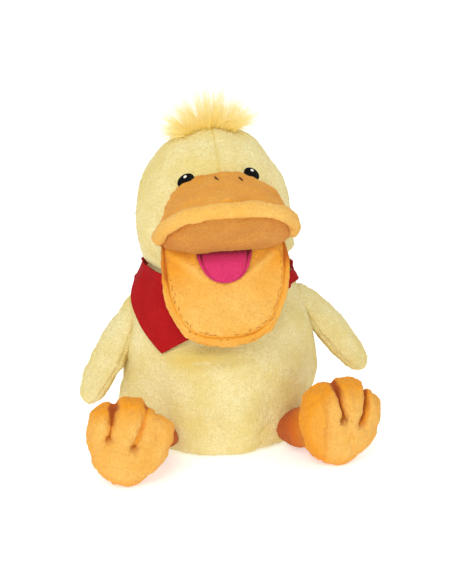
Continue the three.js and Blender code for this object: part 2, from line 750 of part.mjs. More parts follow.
// ---- Legs and feet ----
function footForm(inset) {
  const dipWidth = THREE.MathUtils.degToRad(7);
  const dipAngle = THREE.MathUtils.degToRad(FOOT.toeAngle);
  return loft(32, 6, (side, height, along) => {
    const fromTop = Math.abs(Math.atan2(side, height));
    const dip = FOOT.toeDip * Math.exp(-(((fromTop - dipAngle) / dipWidth) ** 2));
    const reach = roundedTo(along, 2.3) * (1 - dip);
    return [
      side * reach * (FOOT.halfWidth - inset) * (1 + 0.1 * height),
      along * (FOOT.halfThickness - inset),
      height * reach * (FOOT.halfHeight - inset),
    ];
  });
}

function footPlace({ foot, yaw, lean }) {
  return new THREE.Matrix4()
    .makeTranslation(...foot)
    .multiply(new THREE.Matrix4().makeRotationZ(THREE.MathUtils.degToRad(yaw)))
    .multiply(new THREE.Matrix4().makeRotationX(THREE.MathUtils.degToRad(lean)));
}

function addLimb(name, limb) {
  const hip = new THREE.Vector3(...limb.hip);
  const along = new THREE.Vector3(...limb.ankle).sub(hip).normalize();
  const turn = new THREE.Quaternion().setFromUnitVectors(new THREE.Vector3(0, 1, 0), along);
  const legPlace = new THREE.Matrix4().compose(hip, turn, new THREE.Vector3(1, 1, 1));
  const tube = (radius) => {
    const section = new THREE.Shape().absarc(0, 0, radius, 0, 2 * Math.PI);
    const extruded = new THREE.ExtrudeGeometry(section, {
      depth: LEG.reach,
      curveSegments: 6,
      bevelEnabled: false,
    });
    return solidOf(extruded.rotateX(-Math.PI / 2).translate(0, -4, 0));
  };
  const legGroup = jointGroup("leg_" + name, limb.hip, duck);
  const footGroup = jointGroup("foot_" + name, limb.ankle, legGroup);
  const place = footPlace(limb);
  const swing = sweptSpace(torsoEnvelope(LEG.clear), limb.hip, [-1, 0, 0], LEG_SWING);
  const space = swing.add(transformed(footForm(-LEG.footClear), place));
  const fit = (solid) => largest(transformed(solid, legPlace).subtract(space));
  const sleeve = tube(LEG.radius).subtract(tube(LEG.radius - SKIN));
  addPart(legGroup, "leg_" + name + "_sleeve", fit(sleeve), PLUSH_ORANGE);
  const core = tube(LEG.radius - SKIN - GAP);
  addPart(legGroup, "leg_" + name + "_filling", fit(core), FIBREFILL);
  const { upper, lower, filling } = sewnPad(footForm, sideOf(1));
  addPart(footGroup, "foot_" + name + "_top_panel", transformed(upper, place), PLUSH_ORANGE);
  addPart(footGroup, "foot_" + name + "_sole_panel", transformed(lower, place), PLUSH_LIP);
  addPart(footGroup, "foot_" + name + "_filling", transformed(filling, place), FIBREFILL);
}

addTorso();
addTail();
addBandana();
addNeck();
addHead();
addEyes();
addCrest();
addUpperBill();
addLowerBill();
for (const [name, wing] of Object.entries(WINGS)) addWing(name, wing);
for (const [name, limb] of Object.entries(LIMBS)) addLimb(name, limb);

export default duck;
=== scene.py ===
import json
import math

import bpy
import numpy as np
from mathutils import Matrix, Vector


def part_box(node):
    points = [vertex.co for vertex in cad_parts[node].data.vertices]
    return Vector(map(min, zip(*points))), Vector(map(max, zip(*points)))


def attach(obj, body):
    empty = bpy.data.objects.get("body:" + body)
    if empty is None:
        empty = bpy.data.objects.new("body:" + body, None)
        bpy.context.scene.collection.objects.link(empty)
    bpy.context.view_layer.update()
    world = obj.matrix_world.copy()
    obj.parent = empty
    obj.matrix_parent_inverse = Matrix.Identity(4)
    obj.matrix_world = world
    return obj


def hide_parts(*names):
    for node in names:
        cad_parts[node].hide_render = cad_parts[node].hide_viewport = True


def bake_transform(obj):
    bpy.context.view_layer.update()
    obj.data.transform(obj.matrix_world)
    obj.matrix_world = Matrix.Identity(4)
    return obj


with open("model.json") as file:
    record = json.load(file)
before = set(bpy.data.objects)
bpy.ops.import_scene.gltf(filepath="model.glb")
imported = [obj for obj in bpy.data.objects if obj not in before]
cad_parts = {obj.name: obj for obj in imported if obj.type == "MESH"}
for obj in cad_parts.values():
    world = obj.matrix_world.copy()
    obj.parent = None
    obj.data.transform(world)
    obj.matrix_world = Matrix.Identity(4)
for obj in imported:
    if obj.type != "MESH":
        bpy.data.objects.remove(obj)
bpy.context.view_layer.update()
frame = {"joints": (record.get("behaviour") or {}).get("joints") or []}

MM = 0.001
JOINTS = {joint["name"]: joint for joint in frame["joints"]}

# ---- Driving places, in millimetres in the shared frame, read from the joints ----
def joint_place(name):
    return np.array(JOINTS[name]["pos_m"], float) / MM


def unit(vectors):
    return vectors / np.linalg.norm(vectors, axis=-1, keepdims=True)


NECK = joint_place("neck_turn")
MOUTH = joint_place("upper_bill_lift")
TORSO_OFFSET = np.array([2.0, 0.0, 0.0])
TORSO_CENTRE = NECK * [1, 1, 0] + TORSO_OFFSET
HEAD_X = unit(np.array(JOINTS["upper_bill_lift"]["axis"], float))
HEAD_Z = unit(np.array([0.0, 0.0, 1.0]) - HEAD_X[2] * HEAD_X)
HEAD_TURN = np.stack([HEAD_X, np.cross(HEAD_Z, HEAD_X), HEAD_Z], axis=1)


def on_torso(points):
    """Points measured from the middle of the torso's base."""
    return points + TORSO_CENTRE


def on_head(points):
    """Points measured in the turned head, x and y from its axis and z from the floor."""
    return (points - [0, 0, NECK[2]]) @ HEAD_TURN.T + NECK


# ---- Small numeric tools ----
def smoothstep(low, high, value):
    t = np.clip((value - low) / (high - low), 0, 1)
    return t * t * (3 - 2 * t)


def rounded(along, power):
    """1 in the middle and 0 at both ends, as a superellipse."""
    return np.clip(1 - np.abs(along) ** power, 0, 1) ** (1 / power)


def bump(value, centre, width):
    return np.exp(-(((value - centre) / width) ** 2))


def pebble(half, power):
    """A rounded form for a loft, from its half width, half length and half thickness."""

    def form(side, height, along):
        taper = rounded(along, power)
        return side * taper * half[0], along * half[1], height * taper * half[2]

    return form


def turned_from(degrees, middle):
    """The shortest turn from a middle azimuth, in degrees."""
    return (degrees - middle + 180) % 360 - 180


def folds(rows, degrees, z):
    """Ridges and creases round a body, one for each row."""
    total = np.zeros(len(z))
    for depth, height, rise, width, middle, spread in rows:
        turned = turned_from(degrees, middle)
        total += depth * bump(z, height + rise * turned, width) * bump(turned, 0, spread)
    return total


def on_axes(points, *axes):
    """Points whose x, y and z are counted along three directions."""
    return points @ np.stack(axes)


def waves(points, scale, seed, octaves=2):
    """Smooth bumps of about unit height, one every scale millimetres."""
    rng = np.random.default_rng(seed)
    total = np.zeros(len(points))
    for octave in range(octaves):
        direction = rng.normal(size=(9, 3))
        direction *= (2 * math.pi * 2**octave / scale) / np.linalg.norm(direction, axis=1)[:, None]
        phase = rng.uniform(0, 2 * math.pi, 9)
        total += np.sin(points @ direction.T + phase).sum(axis=1) / (2.2 * 2**octave)
    return total


def curve_through(knots, values):
    """Values of a smooth curve through (position, value) knots."""
    x, y = np.array(knots, float).T
    slope = np.gradient(y, x)
    index = np.clip(np.searchsorted(x, values) - 1, 0, len(x) - 2)
    h = x[index + 1] - x[index]
    t = np.clip((values - x[index]) / h, 0, 1)
    a, b = y[index], y[index + 1]
    ma, mb = slope[index] * h, slope[index + 1] * h
    return (
        a * (2 * t**3 - 3 * t**2 + 1)
        + b * (3 * t**2 - 2 * t**3)
        + ma * (t**3 - 2 * t**2 + t)
        + mb * (t**3 - t**2)
    )


# ---- Meshes ----
def make_object(name, points, faces, tone=None):
    """A smooth mesh from points in millimetres. tone is a number for each point that materials read."""
    mesh = bpy.data.meshes.new(name)
    mesh.from_pydata((np.asarray(points) * MM).tolist(), [], [list(map(int, f)) for f in faces])
    mesh.validate()
    mesh.update()
    mesh.polygons.foreach_set("use_smooth", [True] * len(mesh.polygons))
    if tone is not None:
        layer = mesh.attributes.new("tone", "FLOAT", "POINT")
        layer.data.foreach_set("value", np.asarray(tone, np.float32))
    obj = bpy.data.objects.new(name, mesh)
    bpy.context.collection.objects.link(obj)
    return obj


def grid_faces(rows, around, offset=0):
    """Quads of a grid whose rows are closed rings."""
    row, column = np.meshgrid(np.arange(rows - 1), np.arange(around), indexing="ij")
    following = (column + 1) % around
    a = offset + row * around + column
    b = offset + row * around + following
    quads = np.stack([a, b, b + around, a + around], axis=-1)
    return quads.reshape(-1, 4)


def fan(start, around, pole):
    """Triangles from a closed ring to one point."""
    ring = np.arange(around)
    return np.stack([start + ring, start + (ring + 1) % around, np.full(around, pole)], axis=-1)


def bridge(first, second, around):
    """Quads between two closed rings."""
    here = np.arange(around)
    after = (here + 1) % around
    return np.stack([first + here, first + after, second + after, second + here], axis=-1)


def loft_points(around, rows, place):
    """A closed form with two poles. place(side, height, along) gives x, y, z arrays."""
    theta = np.linspace(0, math.pi, rows + 2)[1:-1]
    phi = np.arange(around) * 2 * math.pi / around
    along = np.repeat(-np.cos(theta), around)
    side = np.tile(np.cos(phi), rows)
    height = np.tile(np.sin(phi), rows)
    side = np.concatenate([[0], side, [0]])
    height = np.concatenate([[0], height, [0]])
    along = np.concatenate([[-1], along, [1]])
    points = np.stack(place(side, height, along), axis=1)
    last = len(points) - 1
    caps = (fan(1, around, 0)[:, ::-1], fan(last - around, around, last))
    faces = [*grid_faces(rows, around, 1), *caps[0], *caps[1]]
    return points, faces, (side, height, along)


def turned_points(radius, height, around, depth):
    """A closed ring of revolution from a closed loop of radius and height. depth(z) flattens it in Y."""
    phi = np.arange(around) * 2 * math.pi / around
    r, c = np.meshgrid(np.append(radius, radius[0]), phi, indexing="ij")
    z = np.meshgrid(np.append(height, height[0]), phi, indexing="ij")[0]
    points = np.stack([r * np.cos(c), r * np.sin(c) * depth(z), z], axis=-1)[:-1].reshape(-1, 3)
    faces = grid_faces(len(radius) + 1, around) % len(points)
    return points, faces


def vertex_values(obj, field):
    found = np.empty(len(obj.data.vertices) * 3, np.float32)
    obj.data.vertices.foreach_get(field, found)
    return found.reshape(-1, 3).astype(float)


def points_of(obj):
    return vertex_values(obj, "co") / MM


def set_points(obj, points):
    obj.data.vertices.foreach_set("co", (points * MM).astype(np.float32).ravel())
    obj.data.update()


def push_out(obj, distance):
    """Moves each point along its normal by a distance in millimetres."""
    set_points(obj, points_of(obj) + vertex_values(obj, "normal") * np.asarray(distance)[:, None])


def nearest_on(obj, place):
    """The nearest place on an object to a point, and its normal, in millimetres."""
    _, spot, normal, _ = obj.closest_point_on_mesh(Vector(place * MM))
    return np.array(spot) / MM, np.array(normal)


NAP_DENT, NAP_SWELL = 5.0, 28


def nap(obj, amount, seed):
    """The soft uneven surface of plush: small dents over a gentle swell."""
    points = points_of(obj)
    swell = 0.6 * waves(points, NAP_SWELL, seed + 7, 1)
    push_out(obj, amount * (waves(points, NAP_DENT, seed, 2) + swell))


def plush_piece(name, points, faces, tone, relief, nap_depth, seed, material):
    """A dressed piece of plush, pushed out by its relief, with a nap over it."""
    piece = make_object(name, points, faces, tone)
    push_out(piece, relief)
    nap(piece, nap_depth, seed)
    return dress(piece, material)


# ---- Materials ----
def new_material(name):
    material = bpy.data.materials.new(name)
    material.use_nodes = True
    nodes, links = material.node_tree.nodes, material.node_tree.links
    return material, nodes, links, nodes["Principled BSDF"]


def set_inputs(node, values):
    for name, value in values.items():
        node.inputs[name].default_value = value


def mix_colours(nodes, links, factor, first, second):
    mix = nodes.new("ShaderNodeMix")
    mix.data_type = "RGBA"
    for socket, value in ((mix.inputs[0], factor), (mix.inputs[6], first), (mix.inputs[7], second)):
        if isinstance(value, bpy.types.NodeSocket):
            links.new(value, socket)
        elif isinstance(value, (int, float)):
            socket.default_value = value
        else:
            socket.default_value = (*value, 1)
    return mix.outputs[2]


def spread_between(nodes, links, value, low, high):
    """A value spread so that low becomes 0 and high becomes 1."""
    spread = nodes.new("ShaderNodeMapRange")
    set_inputs(spread, {"From Min": low, "From Max": high})
    links.new(value, spread.inputs["Value"])
    return spread.outputs["Result"]


def set_surface(shader, roughness, specular, sheen=0.0):
    values = {"Roughness": roughness, "Specular IOR Level": specular, "Sheen Weight": sheen}
    set_inputs(shader, values)


def add_relief(nodes, links, shader, height, strength, distance):
    relief = nodes.new("ShaderNodeBump")
    set_inputs(relief, {"Strength": strength, "Distance": distance})
    links.new(height, relief.inputs["Height"])
    links.new(relief.outputs["Normal"], shader.inputs["Normal"])


def noise_factor(nodes, links, scale, low, high, detail=3.0, stretch=None):
    """Noise in object space, once every 1/scale metres, spread between low and high."""
    place = nodes.new("ShaderNodeTexCoord").outputs["Object"]
    if stretch:
        mapping = nodes.new("ShaderNodeMapping")
        mapping.inputs["Scale"].default_value = stretch
        links.new(place, mapping.inputs["Vector"])
        place = mapping.outputs["Vector"]
    noise = nodes.new("ShaderNodeTexNoise")
    set_inputs(noise, {"Scale": scale, "Detail": detail})
    links.new(place, noise.inputs["Vector"])
    return spread_between(nodes, links, noise.outputs["Fac"], low, high)


GRAIN_SHADE = (0.93, 0.88, 0.78)
FELT_SHADE = 0.78
PLUSH_SHEEN_TINT = (1.0, 0.93, 0.7, 1)


def plush(name, light, deep, tone_colour=None, crease_shade_colour=None, sheen=0.12, grain=0.7):
    """Short pile: cloudy patches where the pile leans, fine grain, a soft sheen at the edges.
    tone_colour shows where the tone is near a half, and the crease colour where it is near one.
    The tone is partly painted shade, and the crease colour is painted shade deep in creases, slits and
    corners."""
    material, nodes, links, shader = new_material(name)
    clouds = noise_factor(nodes, links, 38, 0.36, 0.66)
    patches = mix_colours(nodes, links, clouds, light, deep)
    fine = noise_factor(nodes, links, 520, 0.34, 0.66, 4.0)
    darker = tuple(c * shade for c, shade in zip(deep, GRAIN_SHADE))
    speckled = mix_colours(nodes, links, fine, patches, darker)
    blended = mix_colours(nodes, links, grain, patches, speckled)
    if tone_colour:
        tone = nodes.new("ShaderNodeAttribute")
        tone.attribute_name = "tone"
        for colour, low, high in ((tone_colour, 0.0, 0.6), (crease_shade_colour, 0.6, 1.0)):
            if colour:
                reached = spread_between(nodes, links, tone.outputs["Fac"], low, high)
                blended = mix_colours(nodes, links, reached, blended, colour)
    links.new(blended, shader.inputs["Base Color"])
    set_surface(shader, 0.95, 0.15, sheen)
    set_inputs(shader, {"Sheen Roughness": 0.55, "Sheen Tint": PLUSH_SHEEN_TINT})
    height = nodes.new("ShaderNodeMath")
    height.operation = "ADD"
    links.new(noise_factor(nodes, links, 850, 0.25, 0.75, 2.0), height.inputs[0])
    links.new(noise_factor(nodes, links, 190, 0.3, 0.7, 2.0), height.inputs[1])
    add_relief(nodes, links, shader, height.outputs[0], strength=0.65, distance=0.0016)
    return material


def felt(name, light, deep, sheen=0.15, weave=1100):
    """Pressed felt with a faint matted grain."""
    material, nodes, links, shader = new_material(name)
    cloudy = mix_colours(nodes, links, noise_factor(nodes, links, 60, 0.35, 0.7), light, deep)
    grain = noise_factor(nodes, links, weave, 0.3, 0.75, 5.0)
    darker = tuple(c * FELT_SHADE for c in deep)
    links.new(mix_colours(nodes, links, grain, cloudy, darker), shader.inputs["Base Color"])
    set_surface(shader, 0.92, 0.12, sheen)
    height = noise_factor(nodes, links, weave, 0.2, 0.8, 4.0)
    add_relief(nodes, links, shader, height, strength=0.4, distance=0.0006)
    return material


def thread(name, light, deep, gloss):
    """Satin stitches: fine parallel strands with a soft gloss."""
    material, nodes, links, shader = new_material(name)
    strands = noise_factor(nodes, links, 500, 0.35, 0.65, 2.0, stretch=(0.25, 1.0, 3.0))
    links.new(mix_colours(nodes, links, strands, light, deep), shader.inputs["Base Color"])
    set_surface(shader, gloss, 0.08)
    add_relief(nodes, links, shader, strands, strength=0.3, distance=0.0003)
    return material


# The third colour of each plush is a darker tone, partly painted shade; the fourth is painted shade for
# creases, slits and corners.
YELLOW = plush(
    "plush_yellow", (0.93, 0.835, 0.46), (0.84, 0.70, 0.27),
    (0.80, 0.58, 0.12), (0.62, 0.38, 0.05),
)
BILL_TOP = plush(
    "plush_orange", (0.88, 0.42, 0.06), (0.80, 0.32, 0.03),
    (0.82, 0.34, 0.03), (0.5, 0.13, 0.01),
)
LIP = plush(
    "plush_lip", (0.94, 0.57, 0.15), (0.88, 0.47, 0.09),
    (0.85, 0.36, 0.03), (0.56, 0.15, 0.01),
)
# Painted shade: the palate is a darker, browner orange, partly its own cloth and partly shade painted in for
# an underside that faces down.
PALATE_SHADED = plush(
    "palate_cloth", (0.76, 0.36, 0.065), (0.66, 0.27, 0.04),
    (0.62, 0.2, 0.02), (0.25, 0.05, 0.01), grain=1.2,
)
FOOT = plush(
    "plush_foot", (0.93, 0.55, 0.14), (0.88, 0.45, 0.08),
    (0.86, 0.34, 0.02), (0.45, 0.09, 0.01),
)
LEG = plush(
    "plush_leg", (0.84, 0.33, 0.03), (0.76, 0.26, 0.02),
    (0.6, 0.13, 0.01), (0.3, 0.04, 0.01),
)
TONGUE = plush(
    "tongue_felt", (0.76, 0.045, 0.19), (0.66, 0.03, 0.15),
    (0.5, 0.02, 0.09), (0.14, 0.006, 0.012),
)
BANDANA = felt("bandana_felt", (0.48, 0.010, 0.012), (0.40, 0.007, 0.009), sheen=0.0, weave=900)
EYE_BLACK = thread("eye_thread", (0.001, 0.001, 0.001), (0.003, 0.003, 0.003), 0.4)
EYE_WHITE = thread("eye_highlight_thread", (0.85, 0.85, 0.82), (0.7, 0.7, 0.68), 0.4)
NOSTRIL = thread("nostril_thread", (0.06, 0.02, 0.008), (0.12, 0.04, 0.015), 0.6)
STITCH = thread("stitch_thread", (0.66, 0.27, 0.05), (0.52, 0.18, 0.03), 0.7)
LINING = felt("lining_cloth", (0.80, 0.69, 0.30), (0.74, 0.62, 0.25))


def dress(obj, *materials):
    for material in materials:
        obj.data.materials.append(material)
    return obj


# ---- Torso ----
TORSO_OUTLINE = [
    (0, 68), (3, 75.5), (9, 80.5), (20, 84.5), (36, 87), (54, 87.5), (76, 86), (100, 82),
    (122, 75.5), (138, 69), (149, 64.5), (156, 61),
]


def torso_radius(z):
    return curve_through(TORSO_OUTLINE, z)


def torso_depth(z):
    return 0.82 + 0.13 * smoothstep(95, 150, z)


TORSO_WALL = 2.6
TORSO_SEAMS = (-2, 182, 90)
# Each fold's depth, height, rise for each degree, width, and its middle and spread in degrees.
TORSO_FOLDS = [
    (-3.4, 87.76, 0.12, 3.6, -112, 24), (2.2, 94.76, 0.12, 5.0, -112, 24),
    (-4.2, 33.56, 0.42, 4.5, -42, 26), (1.8, 42.56, 0.42, 6.0, -42, 26),
    (-1.6, 128, 0, 3.5, -30, 12), (-12, 50, 0, 24, 190, 34),
]


def make_torso():
    outer_z = np.concatenate([np.linspace(0.6, 14, 8), np.linspace(19, 154, 42)])
    outer_r = torso_radius(outer_z)
    inner_z = np.linspace(150, 4.2, 16)
    inner_r = torso_radius(inner_z) - TORSO_WALL
    radius = np.concatenate([outer_r, [60.0, 58.0], inner_r, [56.5]])
    height = np.concatenate([outer_z, [156.5, 154.0], inner_z, [3.8]])
    points, faces = turned_points(radius, height, 144, torso_depth)
    azimuth = np.arctan2(points[:, 1] / torso_depth(points[:, 2]), points[:, 0])
    z = points[:, 2]
    ring = np.hypot(points[:, 0], points[:, 1] / torso_depth(z))
    outside = smoothstep(-2.2, -0.6, ring - torso_radius(np.clip(z, 0, 155)))
    degrees = np.degrees(azimuth)
    seam = sum(bump(turned_from(degrees, at), 0, 1.3) for at in TORSO_SEAMS)
    low_fold = smoothstep(2, 30, z) * (1 - smoothstep(30, 80, z))
    swell = 2.0 * waves(points, 95, 3, 1) + 1.2 * waves(points, 42, 4, 1)
    crease = folds(TORSO_FOLDS, degrees, z)
    between_legs = bump(degrees, -38, 30) * smoothstep(52, 4, z)
    crease -= 18 * between_legs
    swell *= smoothstep(148, 126, z)
    shift = outside * (swell * low_fold * 0.6 + swell * 0.7 + crease - 1.1 * seam)
    outward = points * [1, 1, 0] / np.maximum(np.hypot(points[:, 0], points[:, 1]), 1)[:, None]
    points = points + outward * shift[:, None]
    # Painted shade: darker low down between the legs and in the crease of the fold on the front of the
    # belly; also darker along the seams.
    shade = bump(degrees, -34, 30) * smoothstep(40, 4, z)
    tone = 0.5 * outside * np.clip(shade + 0.6 * seam, 0, 1)
    tone += 0.45 * outside * bump(degrees, -112, 26) * bump(z - 92 - 0.12 * (degrees + 110), 0, 8)
    torso = make_object("torso_skin", on_torso(points), faces, np.clip(tone, 0, 1))
    nap(torso, 0.25, 11)
    dress(torso, YELLOW)
    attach(torso, "torso")
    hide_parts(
        "torso_front_panel", "torso_left_panel", "torso_back_panel", "torso_right_panel"
    )


# ---- Head and neck ----
HEAD_OUTLINE = [
    (163.5, 58.9), (165.5, 60.8), (170, 62.2), (180, 63.5), (192, 64.5), (208, 64.8), (222, 63),
    (236, 58.5), (249, 51), (260, 42.5), (268.5, 33), (275, 22), (279, 11), (280.3, 0),
]


def head_radius(z):
    return curve_through(HEAD_OUTLINE, z)


HEAD_DEPTH = 0.947
HEAD_MIDDLE = [0, 0, 210]
# The same values as for the torso's folds: two cheeks, the crease over one, and a flatter temple.
HEAD_FOLDS = [
    (6.5, 177, 0, 8, -12, 18), (-2.4, 190, 0, 6, -14, 20),
    (2.6, 190, 0, 22, 190, 34), (-1.0, 246, 0, 20, -8, 26),
]


def make_head():
    """The head's plush, closed on top, with its rim rolled in at the neck."""
    knots = np.array(HEAD_OUTLINE, float)
    steps = np.linspace(0, len(knots) - 1, 60)
    z = curve_through(list(zip(range(len(knots)), knots[:, 0])), steps)
    r = np.maximum(curve_through(list(zip(range(len(knots)), knots[:, 1])), steps), 0)
    inner_z = np.array([276.0, 270, 256, 236, 210, 190, 176, 167])
    inner_r = np.array([0.0, 22, 42, 54, 60, 60.6, 60.2, 58.9])
    around = 144
    radius = np.concatenate([r[:-1], inner_r[1:]])
    height = np.concatenate([z[:-1], inner_z[1:]])
    outer_rows = len(r) - 1
    rings, _ = turned_points(radius, height, around, lambda _: HEAD_DEPTH)
    points = np.concatenate([rings, [[0, 0, z[-1]], [0, 0, inner_z[0]]]])
    inner_start = outer_rows * around
    inner_rows = len(radius) - outer_rows
    crown, inside = len(points) - 2, len(points) - 1
    faces = [
        *grid_faces(outer_rows, around),
        *grid_faces(inner_rows, around, inner_start),
        *fan((outer_rows - 1) * around, around, crown),
        *fan(inner_start, around, inside)[:, ::-1],
        *bridge(inner_start + (inner_rows - 1) * around, 0, around),
    ]
    z_all = points[:, 2]
    degrees = np.degrees(np.arctan2(points[:, 1], points[:, 0]))
    outside = np.concatenate([np.ones(inner_start), np.zeros(len(points) - inner_start)])
    outside[-2] = 1
    front = bump(points[:, 0], 0, 0.9) * (points[:, 1] < 5) * outside
    ring = np.hypot(points[:, 0], points[:, 1])
    back = bump(np.abs(np.abs(degrees - 90) - 40) * ring / 57, 0, 1.2)
    back *= (points[:, 1] > 0) * outside * smoothstep(8, 20, ring)
    swell = 0.9 * waves(points, 70, 21, 1) + 0.45 * waves(points, 30, 22, 1)
    shift = outside * (swell + folds(HEAD_FOLDS, degrees, z_all)) - 0.9 * front - 0.9 * back
    points = points + unit(points - HEAD_MIDDLE) * shift[:, None]
    tone = 0.3 * front * smoothstep(225, 240, z_all) + 0.3 * back
    head = make_object("head_skin", on_head(points), faces, np.clip(tone, 0, 1))
    nap(head, 0.2, 31)
    dress(head, YELLOW)
    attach(head, "head")
    panels = ("head_left_panel", "head_back_panel", "head_right_panel")
    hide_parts(*panels, "head_neck_ring", "head_filling")


def make_neck():
    """The soft neck between the head's rim and the collar, round like a ball so that it turns in place.
    It reaches higher at the sides and back than under the bill."""
    ball, low, high = 58.6, -22.0, 27.0
    heights = np.linspace(low, high, 18)
    radius = np.sqrt(ball**2 - heights**2)
    loop_r = np.concatenate([radius, radius[::-1] - 3.5])
    loop_z = np.concatenate([heights, heights[::-1]])
    points, faces = turned_points(loop_r, loop_z, 96, lambda z: np.full_like(z, 0.97))
    top = high - 10 * smoothstep(-10, -45, points[:, 1])
    z = low + (points[:, 2] - low) / (high - low) * (top - low)
    points[:, :2] *= (np.sqrt(ball**2 - z**2) / np.sqrt(ball**2 - points[:, 2] ** 2))[:, None]
    points[:, 2] = z
    azimuth = np.arctan2(points[:, 1], points[:, 0])
    pleats = 0.8 * np.sin(9 * azimuth + 1.3 * np.sin(2 * azimuth))
    points = points + unit(points) * pleats[:, None] + NECK
    neck = make_object("neck_skin", points, faces)
    nap(neck, 0.2, 41)
    dress(neck, YELLOW)
    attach(neck, "neck")
    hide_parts("neck_turn_ring", "neck_tilt_ring")


# ---- Upper bill ----
BILL_BACK, BILL_FRONT, BILL_HALF, BILL_SLOPE, BILL_MIDDLE = -51.0, -117.0, 56.0, 0.62, 2.0


def bill_z(y):
    return 190 + (BILL_BACK - y) * BILL_SLOPE


def make_upper_bill():
    def top_form(side, height, along):
        ahead = (along + 1) / 2
        start, tip = BILL_BACK + 14, BILL_FRONT + 3
        y = start + (tip - start) * ahead
        u = np.clip((BILL_BACK - y) / (BILL_BACK - BILL_FRONT), 0, 1)
        width = (BILL_HALF - 1.5) * rounded(u, 2.5)
        top = np.minimum(51 * (1 - u) + 9, 58 * rounded(u, 2.4) + 1)
        arch = np.where(height > 0, np.abs(height) ** 0.86, height)
        rise = np.where(height > 0, top, 3.0)
        return BILL_MIDDLE + side * width, y, bill_z(np.minimum(y, BILL_BACK)) + rise * arch

    points, faces, _ = loft_points(120, 70, top_form)
    # Painted shade: the top darkens low down, in the crease where it meets the lip roll.
    edge = smoothstep(9, 3, points[:, 2] - bill_z(points[:, 1])) * (points[:, 1] < BILL_BACK)
    relief = 0.8 * waves(points, 34, 51, 1) + 0.3 * waves(points, 12, 52, 1)
    top = plush_piece(
        "upper_bill_top", on_head(points), faces, 0.75 * edge, relief, 0.2, 53, BILL_TOP
    )
    blend_bill(top)
    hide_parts("upper_bill_top_panel", "upper_bill_filling")

    def palate_form(side, height, along):
        ahead = (along + 1) / 2
        start, tip = BILL_BACK + 6, BILL_FRONT + 2
        y = start + (tip - start) * ahead
        u = np.clip((start - y) / (start - tip), 0, 1)
        width = (BILL_HALF - 2.5) * rounded(u, 2.6) * (0.9 + 0.1 * smoothstep(0, 0.3, u))
        puff = 14.5 * np.sin(np.pi * u**0.85) ** 0.6 + 1.5
        puff *= 1 + 0.10 * side**2
        rise = np.where(height > 0, 2.0, puff * np.maximum(np.abs(height), 0.02) ** -0.3)
        return BILL_MIDDLE + side * width, y, bill_z(y) + rise * height

    points, faces, (side, _, along) = loft_points(112, 56, palate_form)
    # Painted shade: darker at the sides, and deep shade at the back by the mouth's hinge.
    tone = smoothstep(0.75, 1.0, np.abs(side)) * 0.3 + smoothstep(-0.62, -0.9, along)
    relief = 0.5 * waves(points, 26, 61, 1)
    pad = plush_piece("upper_palate_pad", on_head(points), faces, tone, relief, 0.2, 63, PALATE_SHADED)
    blend_bill(pad)
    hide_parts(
        "upper_palate_panel", "upper_palate_filling", "upper_mouth_board", "finger_pocket"
    )
    make_lip()
    return top


def lip_path(t):
    """The lip's middle line, t from 0 at the duck's left corner to 1 at its right corner."""
    angle = math.pi * (0.005 + 0.99 * t)
    side = np.cos(angle)
    x = BILL_MIDDLE + np.sign(side) * np.abs(side) ** 0.8 * (BILL_HALF + 0.5)
    y = BILL_BACK + np.abs(np.sin(angle)) ** 0.8 * (BILL_FRONT - BILL_BACK)
    return np.stack([x, y, bill_z(y) + 2.6], axis=-1)


def make_lip():
    steps, around = 110, 28
    t = np.linspace(0, 1, steps)
    centre = lip_path(t)
    ahead = unit(np.gradient(centre, axis=0))
    outward = unit(np.cross(ahead, [0, BILL_SLOPE, 1.0]))
    up = np.cross(outward, ahead)
    end = np.minimum(t, 1 - t)
    radius = 5.9 * np.clip(end / 0.03, 0.05, 1) ** 0.5
    radius *= 1 + 0.16 * bump(t, 0.07, 0.07) + 0.06 * bump(t, 0.93, 0.06)
    phi = np.arange(around) * 2 * math.pi / around
    rings = (
        centre[:, None]
        + outward[:, None] * (radius[:, None, None] * 0.86 * np.cos(phi)[None, :, None])
        + up[:, None] * (radius[:, None, None] * 1.06 * np.sin(phi)[None, :, None])
    ).reshape(-1, 3)
    points = np.concatenate([rings, [centre[0], centre[-1]]])
    first_cap = fan(0, around, len(rings))[:, ::-1]
    last_cap = fan((steps - 1) * around, around, len(rings) + 1)
    faces = [*grid_faces(steps, around), *first_cap, *last_cap]
    plain = np.zeros(len(points))
    relief = 0.35 * waves(points, 20, 71, 1) + 0.15 * waves(points, 7, 72, 1)
    lip = plush_piece(
        "upper_bill_lip_roll", on_head(points), faces, plain, relief, 0.15, 73, LIP
    )
    blend_bill(lip)
    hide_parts("upper_bill_lip")


def blend_bill(obj):
    """Bakes a piece of the bill's transform into its points."""
    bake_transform(obj)


# ---- Lower bill ----
DROOP = math.radians(64.5)
LOWER_HALF, LOWER_LENGTH = 54.0, 84.0


def on_lower_bill(points):
    """From the lower bill shut flat, measured from the hinge, to where it hangs."""
    x, y, z = points.T
    turned = np.stack(
        [x, y * math.cos(DROOP) - z * math.sin(DROOP), y * math.sin(DROOP) + z * math.cos(DROOP)],
        axis=1,
    )
    return turned @ HEAD_TURN.T + MOUTH


